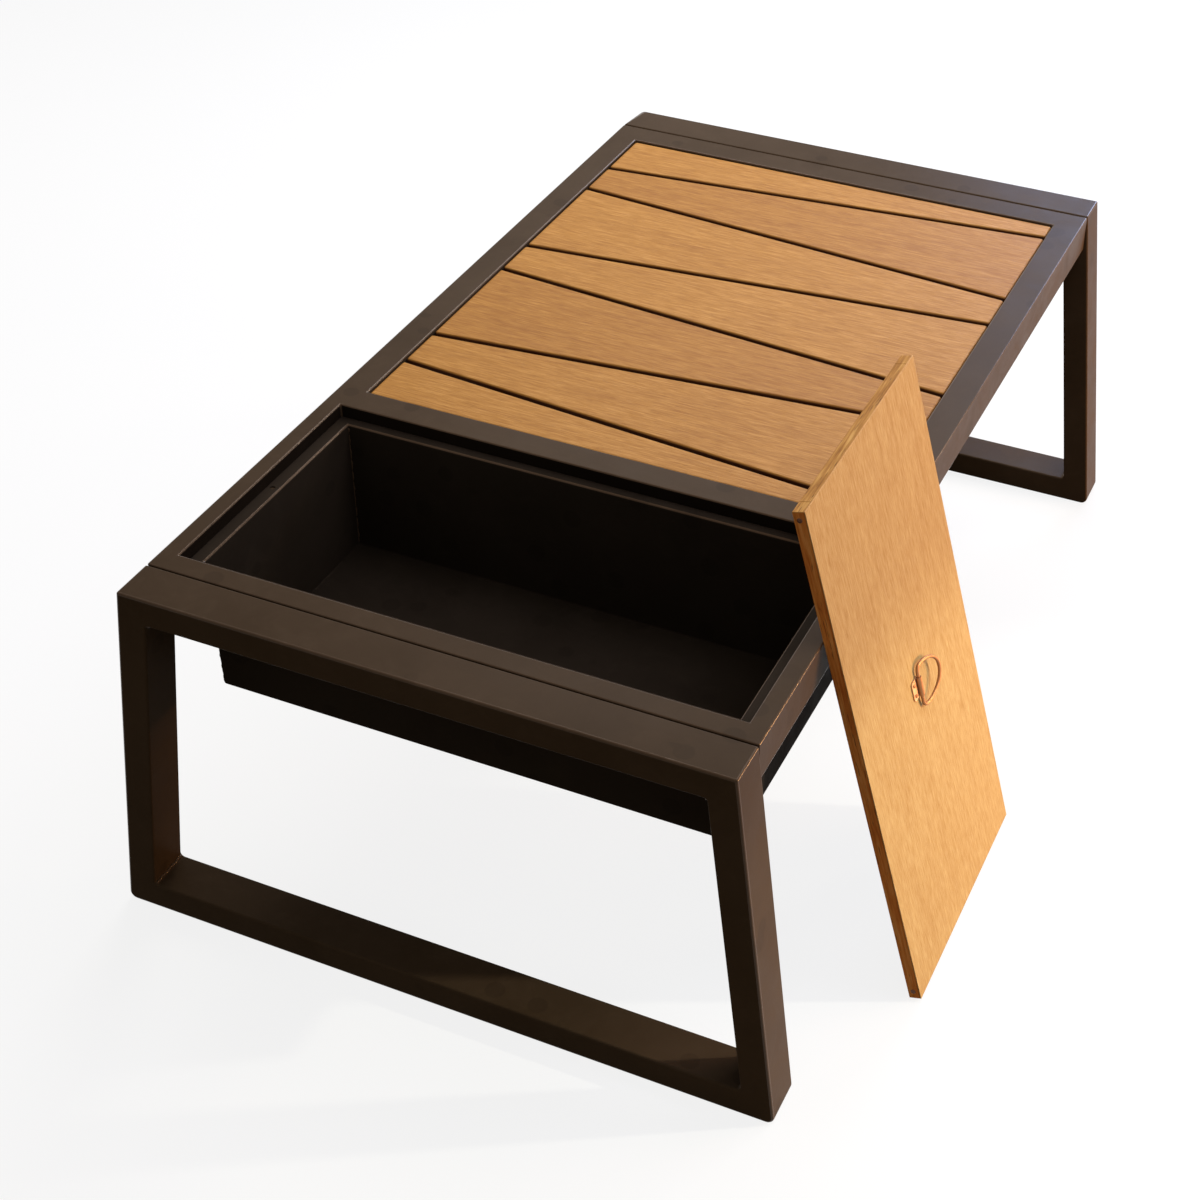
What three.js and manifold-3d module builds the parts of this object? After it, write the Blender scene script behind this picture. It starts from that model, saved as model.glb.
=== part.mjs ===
// Ice bucket coffee table: two welded leg loops carry a welded top frame with tapered slats and a sheet tub.
// The tub's lid is taken off and leans on the right side rail. Millimetres: X runs across the table, Y along
// it with the tub at the negative end, and Z up from the ground.
import * as THREE from 'three';
import { mergeVertices } from 'three/addons/utils/BufferGeometryUtils.js';
import Module from 'manifold-3d';

// Overall sizes
const overallLength = 1200;
const topWidth = 640;
const overallHeight = 424;
const legSplay = THREE.MathUtils.degToRad(6.85);

// Leg loops of rectangular tube
const legTubeDepth = 50;
const legTubeFace = 32;
const legTubeWall = 3;
const legEdgeRadius = 2.5;
const footCornerRadius = 8;
const topCornerRadius = 2;
const groundCornerRadius = 6;

// Top frame of rectangular tube
const railHeight = 45;
const railWall = 2;
const railEdgeRadius = 1.5;
const sideRailWidth = 20;
const nearRailWidth = 26;
const middleRailWidth = 34;
const farRailWidth = 38;
const lidOpeningLength = 303;
const innerStripWidth = 14;
const slatTrimHeight = 20;
const tubLedgeHeight = 15;

// Bolts between the top frame and the leg loops
const boltShankRadius = 3;
const boltHeadRadius = 5;
const boltHeadHeight = 3.5;
const boltGrip = 9;
const boltInset = 80;
const boltDepthBelowTop = 22.5;

// Slats
const slatCount = 7;
const slatThickness = 13;
const slatDrop = 2;
const slatGap = 5;
const slatEndGap = 0.8;
const slatEdgeRadius = 1.5;
const nearSlatShare = 0.45;
const farSlatShare = 0.51;
const slatSlantShare = 0.45;

// Bearers under the slats, and their screws
const bearerWidth = 30;
const bearerThickness = 5;
const bearerSpread = 340;
const slatScrewShankRadius = 2;
const slatScrewHeadRadius = 4;
const slatScrewHeadHeight = 2.4;
const slatScrewBite = 8;

// Tub
const tubDepth = 157;
const tubSheet = 1.2;
const tubTaper = 2.5;
const tubSeatDepth = 14.5;
const tubNearFlange = 16.5;
const tubFarFlange = 11.5;
const tubWallClearance = 0.5;
const flangeHoleRadius = 2.8;

// Lid
const lidLength = 582;
const lidWidth = 301;
const lidThickness = 13;
const lidVeneer = 1.2;
const lidStripWidth = 18;
const lidLean = THREE.MathUtils.degToRad(15.43);
const lidSetback = 209;
const lidScrewShankRadius = 1.5;
const lidScrewHeadRadius = 3;
const lidScrewHeadHeight = 2;
const lidScrewLength = 34;

// Ring pull on the lid
const ringWireRadius = 1.8;
const ringHalfLength = 24.3;
const ringReach = 39.8;
const ringCornerRadius = 8;
const ringRestAngle = THREE.MathUtils.degToRad(10);
const ringSlideDown = 1.5;
const pullDropBelowMiddle = 4;
const pullNearOfMiddle = 3;
const knuckleLength = 22;
const knuckleWall = 1;
const plateReach = 14.5;
const plateThickness = 1.2;
const plateScrewSpread = 12;
const plateScrewInset = 4.5;
const plateScrewShankRadius = 1.2;
const plateScrewHeadRadius = 1.9;
const plateScrewHeadHeight = 0.9;
const plateScrewBite = 8;

// Clearances, cutting overrun and facet counts
const jointGap = 0.3;
const holeClearance = 0.35;
const overrun = 2;
const weldTolerance = 1e-5;
const screwDomeShare = 0.7;
const screwRimShare = 0.5;
const roundFacets = 12;
const wireFacets = 10;
const cornerFacets = 2;
const knuckleFacets = 8;
const ringFacets = 12;

const wasm = await Module();
wasm.setup();

// Solids: three.js geometry in and out of the library that cuts and joins
function solidOf(geometry) {
  const bare = geometry.clone();
  bare.deleteAttribute('normal');
  bare.deleteAttribute('uv');
  const merged = mergeVertices(bare, weldTolerance);
  return new wasm.Manifold(new wasm.Mesh({
    numProp: 3,
    vertProperties: new Float32Array(merged.attributes.position.array),
    triVerts: new Uint32Array(merged.index.array),
  }));
}

function geometryOf(solid) {
  const mesh = solid.getMesh();
  const geometry = new THREE.BufferGeometry();
  geometry.setAttribute('position', new THREE.BufferAttribute(new Float32Array(mesh.vertProperties), 3));
  geometry.setIndex(new THREE.BufferAttribute(new Uint32Array(mesh.triVerts), 1));
  return geometry;
}

function cut(body, ...tools) {
  return tools.reduce((rest, tool) => rest.subtract(tool), body);
}

// A block between two corners
function block(low, high) {
  const geometry = new THREE.BoxGeometry(high[0] - low[0], high[1] - low[1], high[2] - low[2]);
  geometry.translate((low[0] + high[0]) / 2, (low[1] + high[1]) / 2, (low[2] + high[2]) / 2);
  return solidOf(geometry);
}

// A rectangle with rounded corners, centred on the origin
function roundedRectangle(width, height, radius) {
  const shape = new THREE.Shape();
  const x = width / 2 - radius;
  const y = height / 2 - radius;
  shape.absarc(x, y, radius, 0, Math.PI / 2, false);
  shape.absarc(-x, y, radius, Math.PI / 2, Math.PI, false);
  shape.absarc(-x, -y, radius, Math.PI, 3 * Math.PI / 2, false);
  shape.absarc(x, -y, radius, 3 * Math.PI / 2, 2 * Math.PI, false);
  return shape;
}

// A rectangle with sharp corners, centred on the origin
function rectangle(width, height) {
  return new THREE.Shape([
    new THREE.Vector2(-width / 2, -height / 2),
    new THREE.Vector2(width / 2, -height / 2),
    new THREE.Vector2(width / 2, height / 2),
    new THREE.Vector2(-width / 2, height / 2),
  ]);
}

// A straight run of a section between two points; sideways is the direction of the section's width
function straightRun(shape, start, end, sideways, facets = cornerFacets) {
  const along = new THREE.Vector3().subVectors(end, start);
  const length = along.length();
  along.normalize();
  const upward = new THREE.Vector3().crossVectors(along, sideways);
  const geometry = new THREE.ExtrudeGeometry(shape, {
    depth: length, steps: 1, bevelEnabled: false, curveSegments: facets,
  });
  geometry.applyMatrix4(new THREE.Matrix4().makeBasis(sideways, upward, along).setPosition(start));
  return solidOf(geometry);
}

// A hollow tube, open at both ends
function tube(width, height, wall, radius, start, end, sideways) {
  const along = new THREE.Vector3().subVectors(end, start).normalize().multiplyScalar(overrun);
  const outside = straightRun(roundedRectangle(width, height, radius), start, end, sideways);
  const bore = rectangle(width - 2 * wall, height - 2 * wall);
  return outside.subtract(straightRun(bore, start.clone().sub(along), end.clone().add(along), sideways));
}

const acrossX = new THREE.Vector3(1, 0, 0);
const alongY = new THREE.Vector3(0, 1, 0);
const upZ = new THREE.Vector3(0, 0, 1);

// A round pin or drill from a start point along an axis
function rod(radius, length, start, axis) {
  const geometry = new THREE.CylinderGeometry(radius, radius, length, roundFacets);
  geometry.translate(0, length / 2, 0);
  geometry.applyQuaternion(new THREE.Quaternion().setFromUnitVectors(alongY, axis));
  geometry.translate(start.x, start.y, start.z);
  return solidOf(geometry);
}

// A drill for a shank that starts at a point and runs along an axis
function drill(shankRadius, length, start, axis) {
  const from = start.clone().addScaledVector(axis, -overrun);
  return rod(shankRadius + holeClearance, length + overrun, from, axis);
}

// A pan-head screw: its shank starts at a point and runs along an axis, its head stands behind that point
function panHeadScrew(headRadius, headHeight, shankRadius, length, start, axis) {
  const profile = [
    new THREE.Vector2(0, -headHeight),
    new THREE.Vector2(headRadius * screwDomeShare, -headHeight),
    new THREE.Vector2(headRadius, -headHeight * screwRimShare),
    new THREE.Vector2(headRadius, 0),
    new THREE.Vector2(shankRadius, 0),
    new THREE.Vector2(shankRadius, length - shankRadius),
    new THREE.Vector2(0, length),
  ];
  const geometry = new THREE.LatheGeometry(profile, roundFacets);
  geometry.applyQuaternion(new THREE.Quaternion().setFromUnitVectors(alongY, axis));
  geometry.translate(start.x, start.y, start.z);
  return solidOf(geometry);
}

// Materials of the sub-parts
const finishes = {
  bronze: { color: '#3b3026', roughness: 0.45, metalness: 0.35 },
  tubBronze: { color: '#2c251e', roughness: 0.5, metalness: 0.35 },
  slatWood: { color: '#b8803f', roughness: 0.55, metalness: 0 },
  lidWood: { color: '#dca361', roughness: 0.5, metalness: 0 },
  stripWood: { color: '#8a5226', roughness: 0.6, metalness: 0 },
  copper: { color: '#a8643c', roughness: 0.3, metalness: 1 },
  steel: { color: '#a7a49f', roughness: 0.35, metalness: 1 },
};

const table = new THREE.Group();

function addPiece(parent, name, solid, finish) {
  const mesh = new THREE.Mesh(geometryOf(solid), new THREE.MeshStandardMaterial(finishes[finish]));
  mesh.name = name;
  parent.add(mesh);
}

// Places that follow from the sizes above
const halfLength = overallLength / 2;
const halfTop = topWidth / 2;
const halfFoot = halfTop + overallHeight * Math.tan(legSplay);
const frameEndY = halfLength - legTubeDepth - jointGap;
const sideRailInnerX = halfTop - sideRailWidth;
const stripInnerX = sideRailInnerX - innerStripWidth;
const nearRailInnerY = -frameEndY + nearRailWidth;
const middleRailNearY = nearRailInnerY + lidOpeningLength;
const middleRailFarY = middleRailNearY + middleRailWidth;
const farRailInnerY = frameEndY - farRailWidth;
const boltZ = overallHeight - boltDepthBelowTop;
const boltX = halfTop - boltInset;
const bearerX = bearerSpread / 2;
const slatTopZ = overallHeight - slatDrop;
const slatBottomZ = slatTopZ - slatThickness;
const bearerTopZ = slatBottomZ - jointGap;
const flangeTopZ = overallHeight - tubSeatDepth;
const flangeBottomZ = flangeTopZ - tubSheet;

// Leg loops: the corner points run anticlockwise from the bottom left, seen from the near end
const outerCorners = [
  [-halfFoot, 0],
  [halfFoot, 0],
  [halfTop, overallHeight],
  [-halfTop, overallHeight],
];

// A closed outline in the X-Z plane with each corner rounded to its own radius
function roundedOutline(corners, radii) {
  const shape = new THREE.Shape();
  corners.forEach(([x, z], i) => {
    const before = corners[(i + corners.length - 1) % corners.length];
    const after = corners[(i + 1) % corners.length];
    const toBefore = new THREE.Vector2(before[0] - x, before[1] - z).normalize();
    const toAfter = new THREE.Vector2(after[0] - x, after[1] - z).normalize();
    const halfAngle = Math.acos(toBefore.dot(toAfter)) / 2;
    const tangentLength = radii[i] / Math.tan(halfAngle);
    const bisector = toBefore.clone().add(toAfter).normalize();
    const centre = new THREE.Vector2(x, z).addScaledVector(bisector, radii[i] / Math.sin(halfAngle));
    const first = new THREE.Vector2(x, z).addScaledVector(toBefore, tangentLength).sub(centre);
    const last = new THREE.Vector2(x, z).addScaledVector(toAfter, tangentLength).sub(centre);
    shape.absarc(centre.x, centre.y, radii[i], first.angle(), last.angle(), false);
  });
  return shape;
}

// A prism of an X-Z outline, from one Y to another
function prismAlongY(shape, lowY, highY) {
  const geometry = new THREE.ExtrudeGeometry(shape, {
    depth: highY - lowY, steps: 1, bevelEnabled: false, curveSegments: cornerFacets,
  });
  geometry.rotateX(Math.PI / 2);
  geometry.translate(0, highY, 0);
  return solidOf(geometry);
}

// Inner corners of the loop: each side of the trapezoid moved in by the tube's face
function innerCorner(i) {
  const corner = new THREE.Vector2(...outerCorners[i]);
  const before = new THREE.Vector2(...outerCorners[(i + 3) % 4]).sub(corner).normalize();
  const after = new THREE.Vector2(...outerCorners[(i + 1) % 4]).sub(corner).normalize();
  const halfAngle = Math.acos(before.dot(after)) / 2;
  const bisector = before.clone().add(after).normalize();
  return corner.addScaledVector(bisector, legTubeFace / Math.sin(halfAngle));
}

// One side of a loop: a tube trimmed at its two mitres and rounded with the loop's outline
function loopSide(i, lowY, outline) {
  const next = (i + 1) % 4;
  const from = new THREE.Vector2(...outerCorners[i]);
  const to = new THREE.Vector2(...outerCorners[next]);
  const along = to.clone().sub(from).normalize();
  const inward = new THREE.Vector2(-along.y, along.x);
  const start = from.clone().addScaledVector(inward, legTubeFace / 2).addScaledVector(along, -legTubeFace);
  const end = to.clone().addScaledVector(inward, legTubeFace / 2).addScaledVector(along, legTubeFace);
  const midY = lowY + legTubeDepth / 2;
  const bar = tube(
    legTubeDepth, legTubeFace, legTubeWall, legEdgeRadius,
    new THREE.Vector3(start.x, midY, start.y), new THREE.Vector3(end.x, midY, end.y), alongY,
  );
  const mitre = new THREE.Shape([from, to, innerCorner(next), innerCorner(i)]);
  const trimmed = bar
    .intersect(prismAlongY(mitre, lowY - overrun, lowY + legTubeDepth + overrun))
    .intersect(outline);
  return cut(trimmed, mitreSaw(i, lowY), mitreSaw(next, lowY));
}

// A thin slab on a mitre, which leaves half the joint gap on each side of it
function mitreSaw(i, lowY) {
  const outer = new THREE.Vector2(...outerCorners[i]);
  const inner = innerCorner(i);
  const along = inner.clone().sub(outer).normalize();
  const start = outer.clone().addScaledVector(along, -legTubeFace);
  const end = inner.clone().addScaledVector(along, legTubeFace);
  const midY = lowY + legTubeDepth / 2;
  return straightRun(
    rectangle(legTubeDepth + overrun, jointGap),
    new THREE.Vector3(start.x, midY, start.y), new THREE.Vector3(end.x, midY, end.y), alongY,
  );
}

// Bolts: the head stands inside the top frame, the shank runs through the end rail into the leg loop's top beam
const boltLength = (endRailWidth) => endRailWidth + jointGap + legTubeWall + boltGrip;

function boltPlaces(end) {
  const railInnerY = end < 0 ? nearRailInnerY : farRailInnerY;
  const railWidth = end < 0 ? nearRailWidth : farRailWidth;
  return [-1, 1].map((side) => ({
    side,
    start: new THREE.Vector3(side * boltX, railInnerY - end * jointGap, boltZ),
    axis: alongY.clone().multiplyScalar(end),
    length: boltLength(railWidth) + jointGap,
  }));
}

function boltDrills(end) {
  return boltPlaces(end).map((bolt) => drill(boltShankRadius, bolt.length, bolt.start, bolt.axis));
}

function addLegLoop(prefix, end, cornerRadii) {
  const lowY = end < 0 ? -halfLength : halfLength - legTubeDepth;
  const outline = prismAlongY(
    roundedOutline(outerCorners, cornerRadii), lowY - overrun, lowY + legTubeDepth + overrun,
  );
  const sideNames = ['foot_beam', 'right_post', 'top_beam', 'left_post'];
  sideNames.forEach((name, i) => {
    const side = loopSide(i, lowY, outline);
    const drilled = name === 'top_beam' ? cut(side, ...boltDrills(end)) : side;
    addPiece(table, `${prefix}_${name}`, drilled, 'bronze');
  });
}

addLegLoop('near', -1, [footCornerRadius, footCornerRadius, topCornerRadius, topCornerRadius]);
addLegLoop('far', 1, [footCornerRadius, footCornerRadius, topCornerRadius, groundCornerRadius]);

// Top frame: the side rails run the full length and the other rails lie between them
const railMidZ = overallHeight - railHeight / 2;

function railAlongY(width, height, midX, midZ, lowY, highY) {
  return tube(
    width, height, railWall, railEdgeRadius,
    new THREE.Vector3(midX, lowY, midZ), new THREE.Vector3(midX, highY, midZ), acrossX,
  );
}

function crossRail(width, lowY) {
  const reach = sideRailInnerX - jointGap;
  const midY = lowY + width / 2;
  return tube(
    width, railHeight, railWall, railEdgeRadius,
    new THREE.Vector3(-reach, midY, railMidZ), new THREE.Vector3(reach, midY, railMidZ), alongY,
  );
}

const stripWidth = innerStripWidth - jointGap;
const stripMidX = stripInnerX + stripWidth / 2;

for (const [name, side] of [['left', -1], ['right', 1]]) {
  const railMidX = side * (halfTop - sideRailWidth / 2);
  addPiece(table, `${name}_side_rail`, railAlongY(
    sideRailWidth, railHeight, railMidX, railMidZ, -frameEndY, frameEndY,
  ), 'bronze');
  addPiece(table, `${name}_slat_trim`, railAlongY(
    stripWidth, slatTrimHeight, side * stripMidX, overallHeight - slatTrimHeight / 2,
    middleRailFarY + jointGap, farRailInnerY - jointGap,
  ), 'bronze');
  addPiece(table, `${name}_tub_ledge`, railAlongY(
    stripWidth, tubLedgeHeight, side * stripMidX, flangeBottomZ - jointGap - tubLedgeHeight / 2,
    nearRailInnerY + jointGap, middleRailNearY - jointGap,
  ), 'bronze');
}

addPiece(table, 'near_rail', cut(crossRail(nearRailWidth, -frameEndY), ...boltDrills(-1)), 'bronze');
addPiece(table, 'middle_rail', crossRail(middleRailWidth, middleRailNearY), 'bronze');
addPiece(table, 'far_rail', cut(crossRail(farRailWidth, farRailInnerY), ...boltDrills(1)), 'bronze');

for (const [prefix, end] of [['near', -1], ['far', 1]]) {
  boltPlaces(end).forEach((bolt) => {
    const name = `${prefix}_${bolt.side < 0 ? 'left' : 'right'}_frame_bolt`;
    const screw = panHeadScrew(
      boltHeadRadius, boltHeadHeight, boltShankRadius, bolt.length - holeClearance, bolt.start, bolt.axis,
    );
    addPiece(table, name, screw, 'steel');
  });
}

// Slats: gap lines cross the bed at an even pitch and slant in turn to either side
const slatBedLength = farRailInnerY - middleRailFarY;
const slatPitch = slatBedLength / (slatCount - 2 + nearSlatShare + farSlatShare);
const slatHalfWidth = stripInnerX - slatEndGap;

// Y of a gap line's centre at a given X; line 0 is the middle rail's edge and the last the far rail's
function gapLineY(line, x) {
  if (line === 0) return middleRailFarY;
  if (line === slatCount) return farRailInnerY;
  const middle = middleRailFarY + slatPitch * (line - 1 + nearSlatShare);
  const turn = line % 2 === 0 ? 1 : -1;
  return middle + turn * slatPitch * slatSlantShare * x / (2 * slatHalfWidth);
}

// Half of the gap on a gap line, or the end clearance at a rail
const edgeGap = (line) => (line === 0 || line === slatCount ? slatEndGap : slatGap / 2);

function slatOutline(i) {
  const shape = new THREE.Shape();
  shape.moveTo(-slatHalfWidth, gapLineY(i, -slatHalfWidth) + edgeGap(i));
  shape.lineTo(slatHalfWidth, gapLineY(i, slatHalfWidth) + edgeGap(i));
  shape.lineTo(slatHalfWidth, gapLineY(i + 1, slatHalfWidth) - edgeGap(i + 1));
  shape.lineTo(-slatHalfWidth, gapLineY(i + 1, -slatHalfWidth) - edgeGap(i + 1));
  return shape;
}

function slatScrewPlace(i, side) {
  const x = side * bearerX;
  const y = (gapLineY(i, x) + gapLineY(i + 1, x)) / 2;
  return new THREE.Vector3(x, y, bearerTopZ - bearerThickness - jointGap);
}

const slatScrewLength = jointGap + bearerThickness + jointGap + slatScrewBite;

for (let i = 0; i < slatCount; i += 1) {
  const geometry = new THREE.ExtrudeGeometry(slatOutline(i), {
    depth: slatThickness - 2 * slatEdgeRadius,
    steps: 1,
    bevelEnabled: true,
    bevelThickness: slatEdgeRadius,
    bevelSize: slatEdgeRadius,
    bevelOffset: -slatEdgeRadius,
    bevelSegments: 2,
  });
  geometry.translate(0, 0, slatBottomZ + slatEdgeRadius);
  const holes = [-1, 1].map(
    (side) => drill(slatScrewShankRadius, slatScrewLength + jointGap, slatScrewPlace(i, side), upZ),
  );
  addPiece(table, `slat_${i + 1}`, cut(solidOf(geometry), ...holes), 'slatWood');
}

for (const [name, side] of [['left', -1], ['right', 1]]) {
  const bar = block(
    [side * bearerX - bearerWidth / 2, middleRailFarY + jointGap, bearerTopZ - bearerThickness],
    [side * bearerX + bearerWidth / 2, farRailInnerY - jointGap, bearerTopZ],
  );
  const places = Array.from({ length: slatCount }, (_, i) => slatScrewPlace(i, side));
  const holes = places.map((place) => drill(slatScrewShankRadius, slatScrewLength, place, upZ));
  addPiece(table, `${name}_slat_bearer`, cut(bar, ...holes), 'bronze');
  places.forEach((place, i) => {
    const screw = panHeadScrew(
      slatScrewHeadRadius, slatScrewHeadHeight, slatScrewShankRadius, slatScrewLength, place, upZ,
    );
    addPiece(table, `${name}_slat_screw_${i + 1}`, screw, 'steel');
  });
}

// Tub: a folded sheet box with a flange; it tapers towards its floor
const tubTopHalfWidth = stripInnerX - tubWallClearance;
const tubNearY = nearRailInnerY + tubNearFlange;
const tubFarY = middleRailNearY - tubFarFlange;
const tubBottomZ = flangeTopZ - tubDepth;

// A box whose lower end is smaller on every side by the taper
function taperedBox(halfWidth, lowY, highY, bottomZ, topZ, taperPerHeight) {
  const height = topZ - bottomZ;
  const geometry = new THREE.BoxGeometry(2 * halfWidth, highY - lowY, height);
  const points = geometry.attributes.position;
  for (let i = 0; i < points.count; i += 1) {
    if (points.getZ(i) < 0) {
      points.setX(i, points.getX(i) - Math.sign(points.getX(i)) * taperPerHeight * height);
      points.setY(i, points.getY(i) - Math.sign(points.getY(i)) * taperPerHeight * height);
    }
  }
  geometry.translate(0, (lowY + highY) / 2, (bottomZ + topZ) / 2);
  return solidOf(geometry);
}

const taperPerHeight = tubTaper / tubDepth;
const tubShell = taperedBox(tubTopHalfWidth, tubNearY, tubFarY, tubBottomZ, flangeTopZ, taperPerHeight);
const tubFlange = block(
  [-sideRailInnerX + 2 * jointGap, nearRailInnerY + 2 * jointGap, flangeBottomZ],
  [sideRailInnerX - 2 * jointGap, middleRailNearY - 2 * jointGap, flangeTopZ],
);
const tubHollow = taperedBox(
  tubTopHalfWidth - tubSheet + taperPerHeight * overrun,
  tubNearY + tubSheet - taperPerHeight * overrun,
  tubFarY - tubSheet + taperPerHeight * overrun,
  tubBottomZ + tubSheet, flangeTopZ + overrun, taperPerHeight,
);
const flangeHoleX = -(tubTopHalfWidth + sideRailInnerX) / 2;
const flangeHoleY = (tubNearY + tubFarY) / 2;
const flangeHole = rod(
  flangeHoleRadius, tubSheet + 2 * overrun,
  new THREE.Vector3(flangeHoleX, flangeHoleY, flangeBottomZ - overrun), upZ,
);
addPiece(table, 'tub', cut(tubShell.add(tubFlange), tubHollow, flangeHole), 'tubBronze');

// Lid: drawn lying flat, its back on z = 0 and the end that stands on the ground at x = 0
const lid = new THREE.Group();
const lidHalfWidth = lidWidth / 2;
const boardThickness = lidThickness - lidVeneer - jointGap;
const endStripReach = lidHalfWidth - lidStripWidth - jointGap;
const lidScrewZ = boardThickness / 2;
const lidScrewXs = [-lidStripWidth / 2, -lidLength + lidStripWidth / 2];

// A flat-head screw whose head lies flush in a countersink at its start point
function flushScrew(headRadius, headHeight, shankRadius, length, start, axis) {
  const profile = [
    new THREE.Vector2(0, 0),
    new THREE.Vector2(headRadius, 0),
    new THREE.Vector2(shankRadius, headHeight),
    new THREE.Vector2(shankRadius, length - shankRadius),
    new THREE.Vector2(0, length),
  ];
  const geometry = new THREE.LatheGeometry(profile, roundFacets);
  geometry.applyQuaternion(new THREE.Quaternion().setFromUnitVectors(alongY, axis));
  geometry.translate(start.x, start.y, start.z);
  return solidOf(geometry);
}

function lidScrewPlaces(side) {
  const axis = alongY.clone().multiplyScalar(-side);
  return lidScrewXs.map((x) => ({ axis, start: new THREE.Vector3(x, side * lidHalfWidth, lidScrewZ) }));
}

// The countersunk hole that clears such a screw on every side
function lidScrewHoles(side) {
  const headRadius = lidScrewHeadRadius + holeClearance;
  const shankRadius = lidScrewShankRadius + holeClearance;
  return lidScrewPlaces(side).map(({ start, axis }) => {
    const sink = flushScrew(headRadius, lidScrewHeadHeight, shankRadius, lidScrewLength, start, axis);
    const mouth = rod(headRadius, overrun, start.clone().addScaledVector(axis, -overrun), axis);
    return sink.add(mouth).add(rod(shankRadius, lidScrewLength + holeClearance, start, axis));
  });
}

for (const [name, side] of [['near', -1], ['far', 1]]) {
  const edges = [side * lidHalfWidth, side * (lidHalfWidth - lidStripWidth)].sort((a, b) => a - b);
  const strip = block([-lidLength, edges[0], 0], [0, edges[1], boardThickness]);
  addPiece(lid, `lid_${name}_edge_strip`, cut(strip, ...lidScrewHoles(side)), 'stripWood');
  lidScrewPlaces(side).forEach(({ start, axis }, i) => {
    const screw = flushScrew(
      lidScrewHeadRadius, lidScrewHeadHeight, lidScrewShankRadius, lidScrewLength, start, axis,
    );
    addPiece(lid, `lid_${name}_edge_screw_${i + 1}`, screw, 'steel');
  });
}
for (const [name, lowX] of [['bottom', -lidStripWidth], ['top', -lidLength]]) {
  const strip = block([lowX, -endStripReach, 0], [lowX + lidStripWidth, endStripReach, boardThickness]);
  addPiece(lid, `lid_${name}_end_strip`, cut(strip, ...lidScrewHoles(-1), ...lidScrewHoles(1)), 'stripWood');
}

// Ring pull: the plate's curled edge is the knuckle that the ring's straight bar turns in
const knuckleBore = ringWireRadius + holeClearance;
const knuckleRadius = knuckleBore + knuckleWall;
const plateBottomZ = lidThickness + jointGap;
const barZ = plateBottomZ + knuckleRadius;
const pullX = -lidLength / 2 + pullDropBelowMiddle;
const pullY = -pullNearOfMiddle;

const plateScrewSeatZ = plateBottomZ + plateThickness + jointGap;
const plateScrewPlaces = [-1, 1].map((side) => new THREE.Vector3(
  pullX + side * plateScrewSpread / 2, pullY - plateReach + plateScrewInset, plateScrewSeatZ,
));
const downZ = upZ.clone().negate();
const plateScrewLength = jointGap + plateThickness + jointGap + plateScrewBite;
const plateScrewHoles = plateScrewPlaces.map(
  (place) => drill(plateScrewShankRadius, plateScrewLength + jointGap, place, downZ),
);

function hingePlateShape() {
  const shape = new THREE.Shape();
  const meetAngle = Math.PI + Math.asin((knuckleRadius - plateThickness) / knuckleRadius);
  shape.moveTo(-plateReach, 0);
  shape.lineTo(0, 0);
  shape.absarc(0, knuckleRadius, knuckleRadius, -Math.PI / 2, meetAngle, false);
  shape.lineTo(-plateReach, plateThickness);
  const bore = new THREE.Path();
  bore.absarc(0, knuckleRadius, knuckleBore, 0, 2 * Math.PI, true);
  shape.holes.push(bore);
  return shape;
}

const hingePlate = straightRun(
  hingePlateShape(),
  new THREE.Vector3(pullX - knuckleLength / 2, pullY, plateBottomZ),
  new THREE.Vector3(pullX + knuckleLength / 2, pullY, plateBottomZ),
  alongY, knuckleFacets,
);
addPiece(lid, 'ring_hinge_plate', cut(hingePlate, ...plateScrewHoles), 'copper');
plateScrewPlaces.forEach((place, i) => {
  const screw = panHeadScrew(
    plateScrewHeadRadius, plateScrewHeadHeight, plateScrewShankRadius, plateScrewLength, place, downZ,
  );
  addPiece(lid, `ring_plate_screw_${i + 1}`, screw, 'copper');
});

const lidCore = block(
  [-lidLength + lidStripWidth + jointGap, -endStripReach, 0],
  [-lidStripWidth - jointGap, endStripReach, boardThickness],
);
const lidFace = block(
  [-lidLength, -lidHalfWidth, boardThickness + jointGap],
  [0, lidHalfWidth, lidThickness],
);
addPiece(lid, 'lid_core_board', cut(lidCore, ...plateScrewHoles), 'lidWood');
addPiece(lid, 'lid_face_veneer', cut(lidFace, ...plateScrewHoles), 'lidWood');

// A wire bent to a closed flat loop: rings of points round each point of the path, joined in turn
function closedWire(path, radius, sides) {
  const positions = [];
  const indices = [];
  path.forEach((point, i) => {
    const before = path[(i + path.length - 1) % path.length];
    const after = path[(i + 1) % path.length];
    const along = after.clone().sub(before).normalize();
    for (let k = 0; k < sides; k += 1) {
      const turn = 2 * Math.PI * k / sides;
      const outward = radius * Math.cos(turn);
      positions.push(point.x + along.y * outward, point.y - along.x * outward, radius * Math.sin(turn));
      const ahead = ((i + 1) % path.length) * sides;
      const here = i * sides;
      const nextSide = (k + 1) % sides;
      indices.push(here + k, ahead + k, ahead + nextSide, here + k, ahead + nextSide, here + nextSide);
    }
  });
  const geometry = new THREE.BufferGeometry();
  geometry.setAttribute('position', new THREE.Float32BufferAttribute(positions, 3));
  geometry.setIndex(indices);
  return geometry;
}

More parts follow.
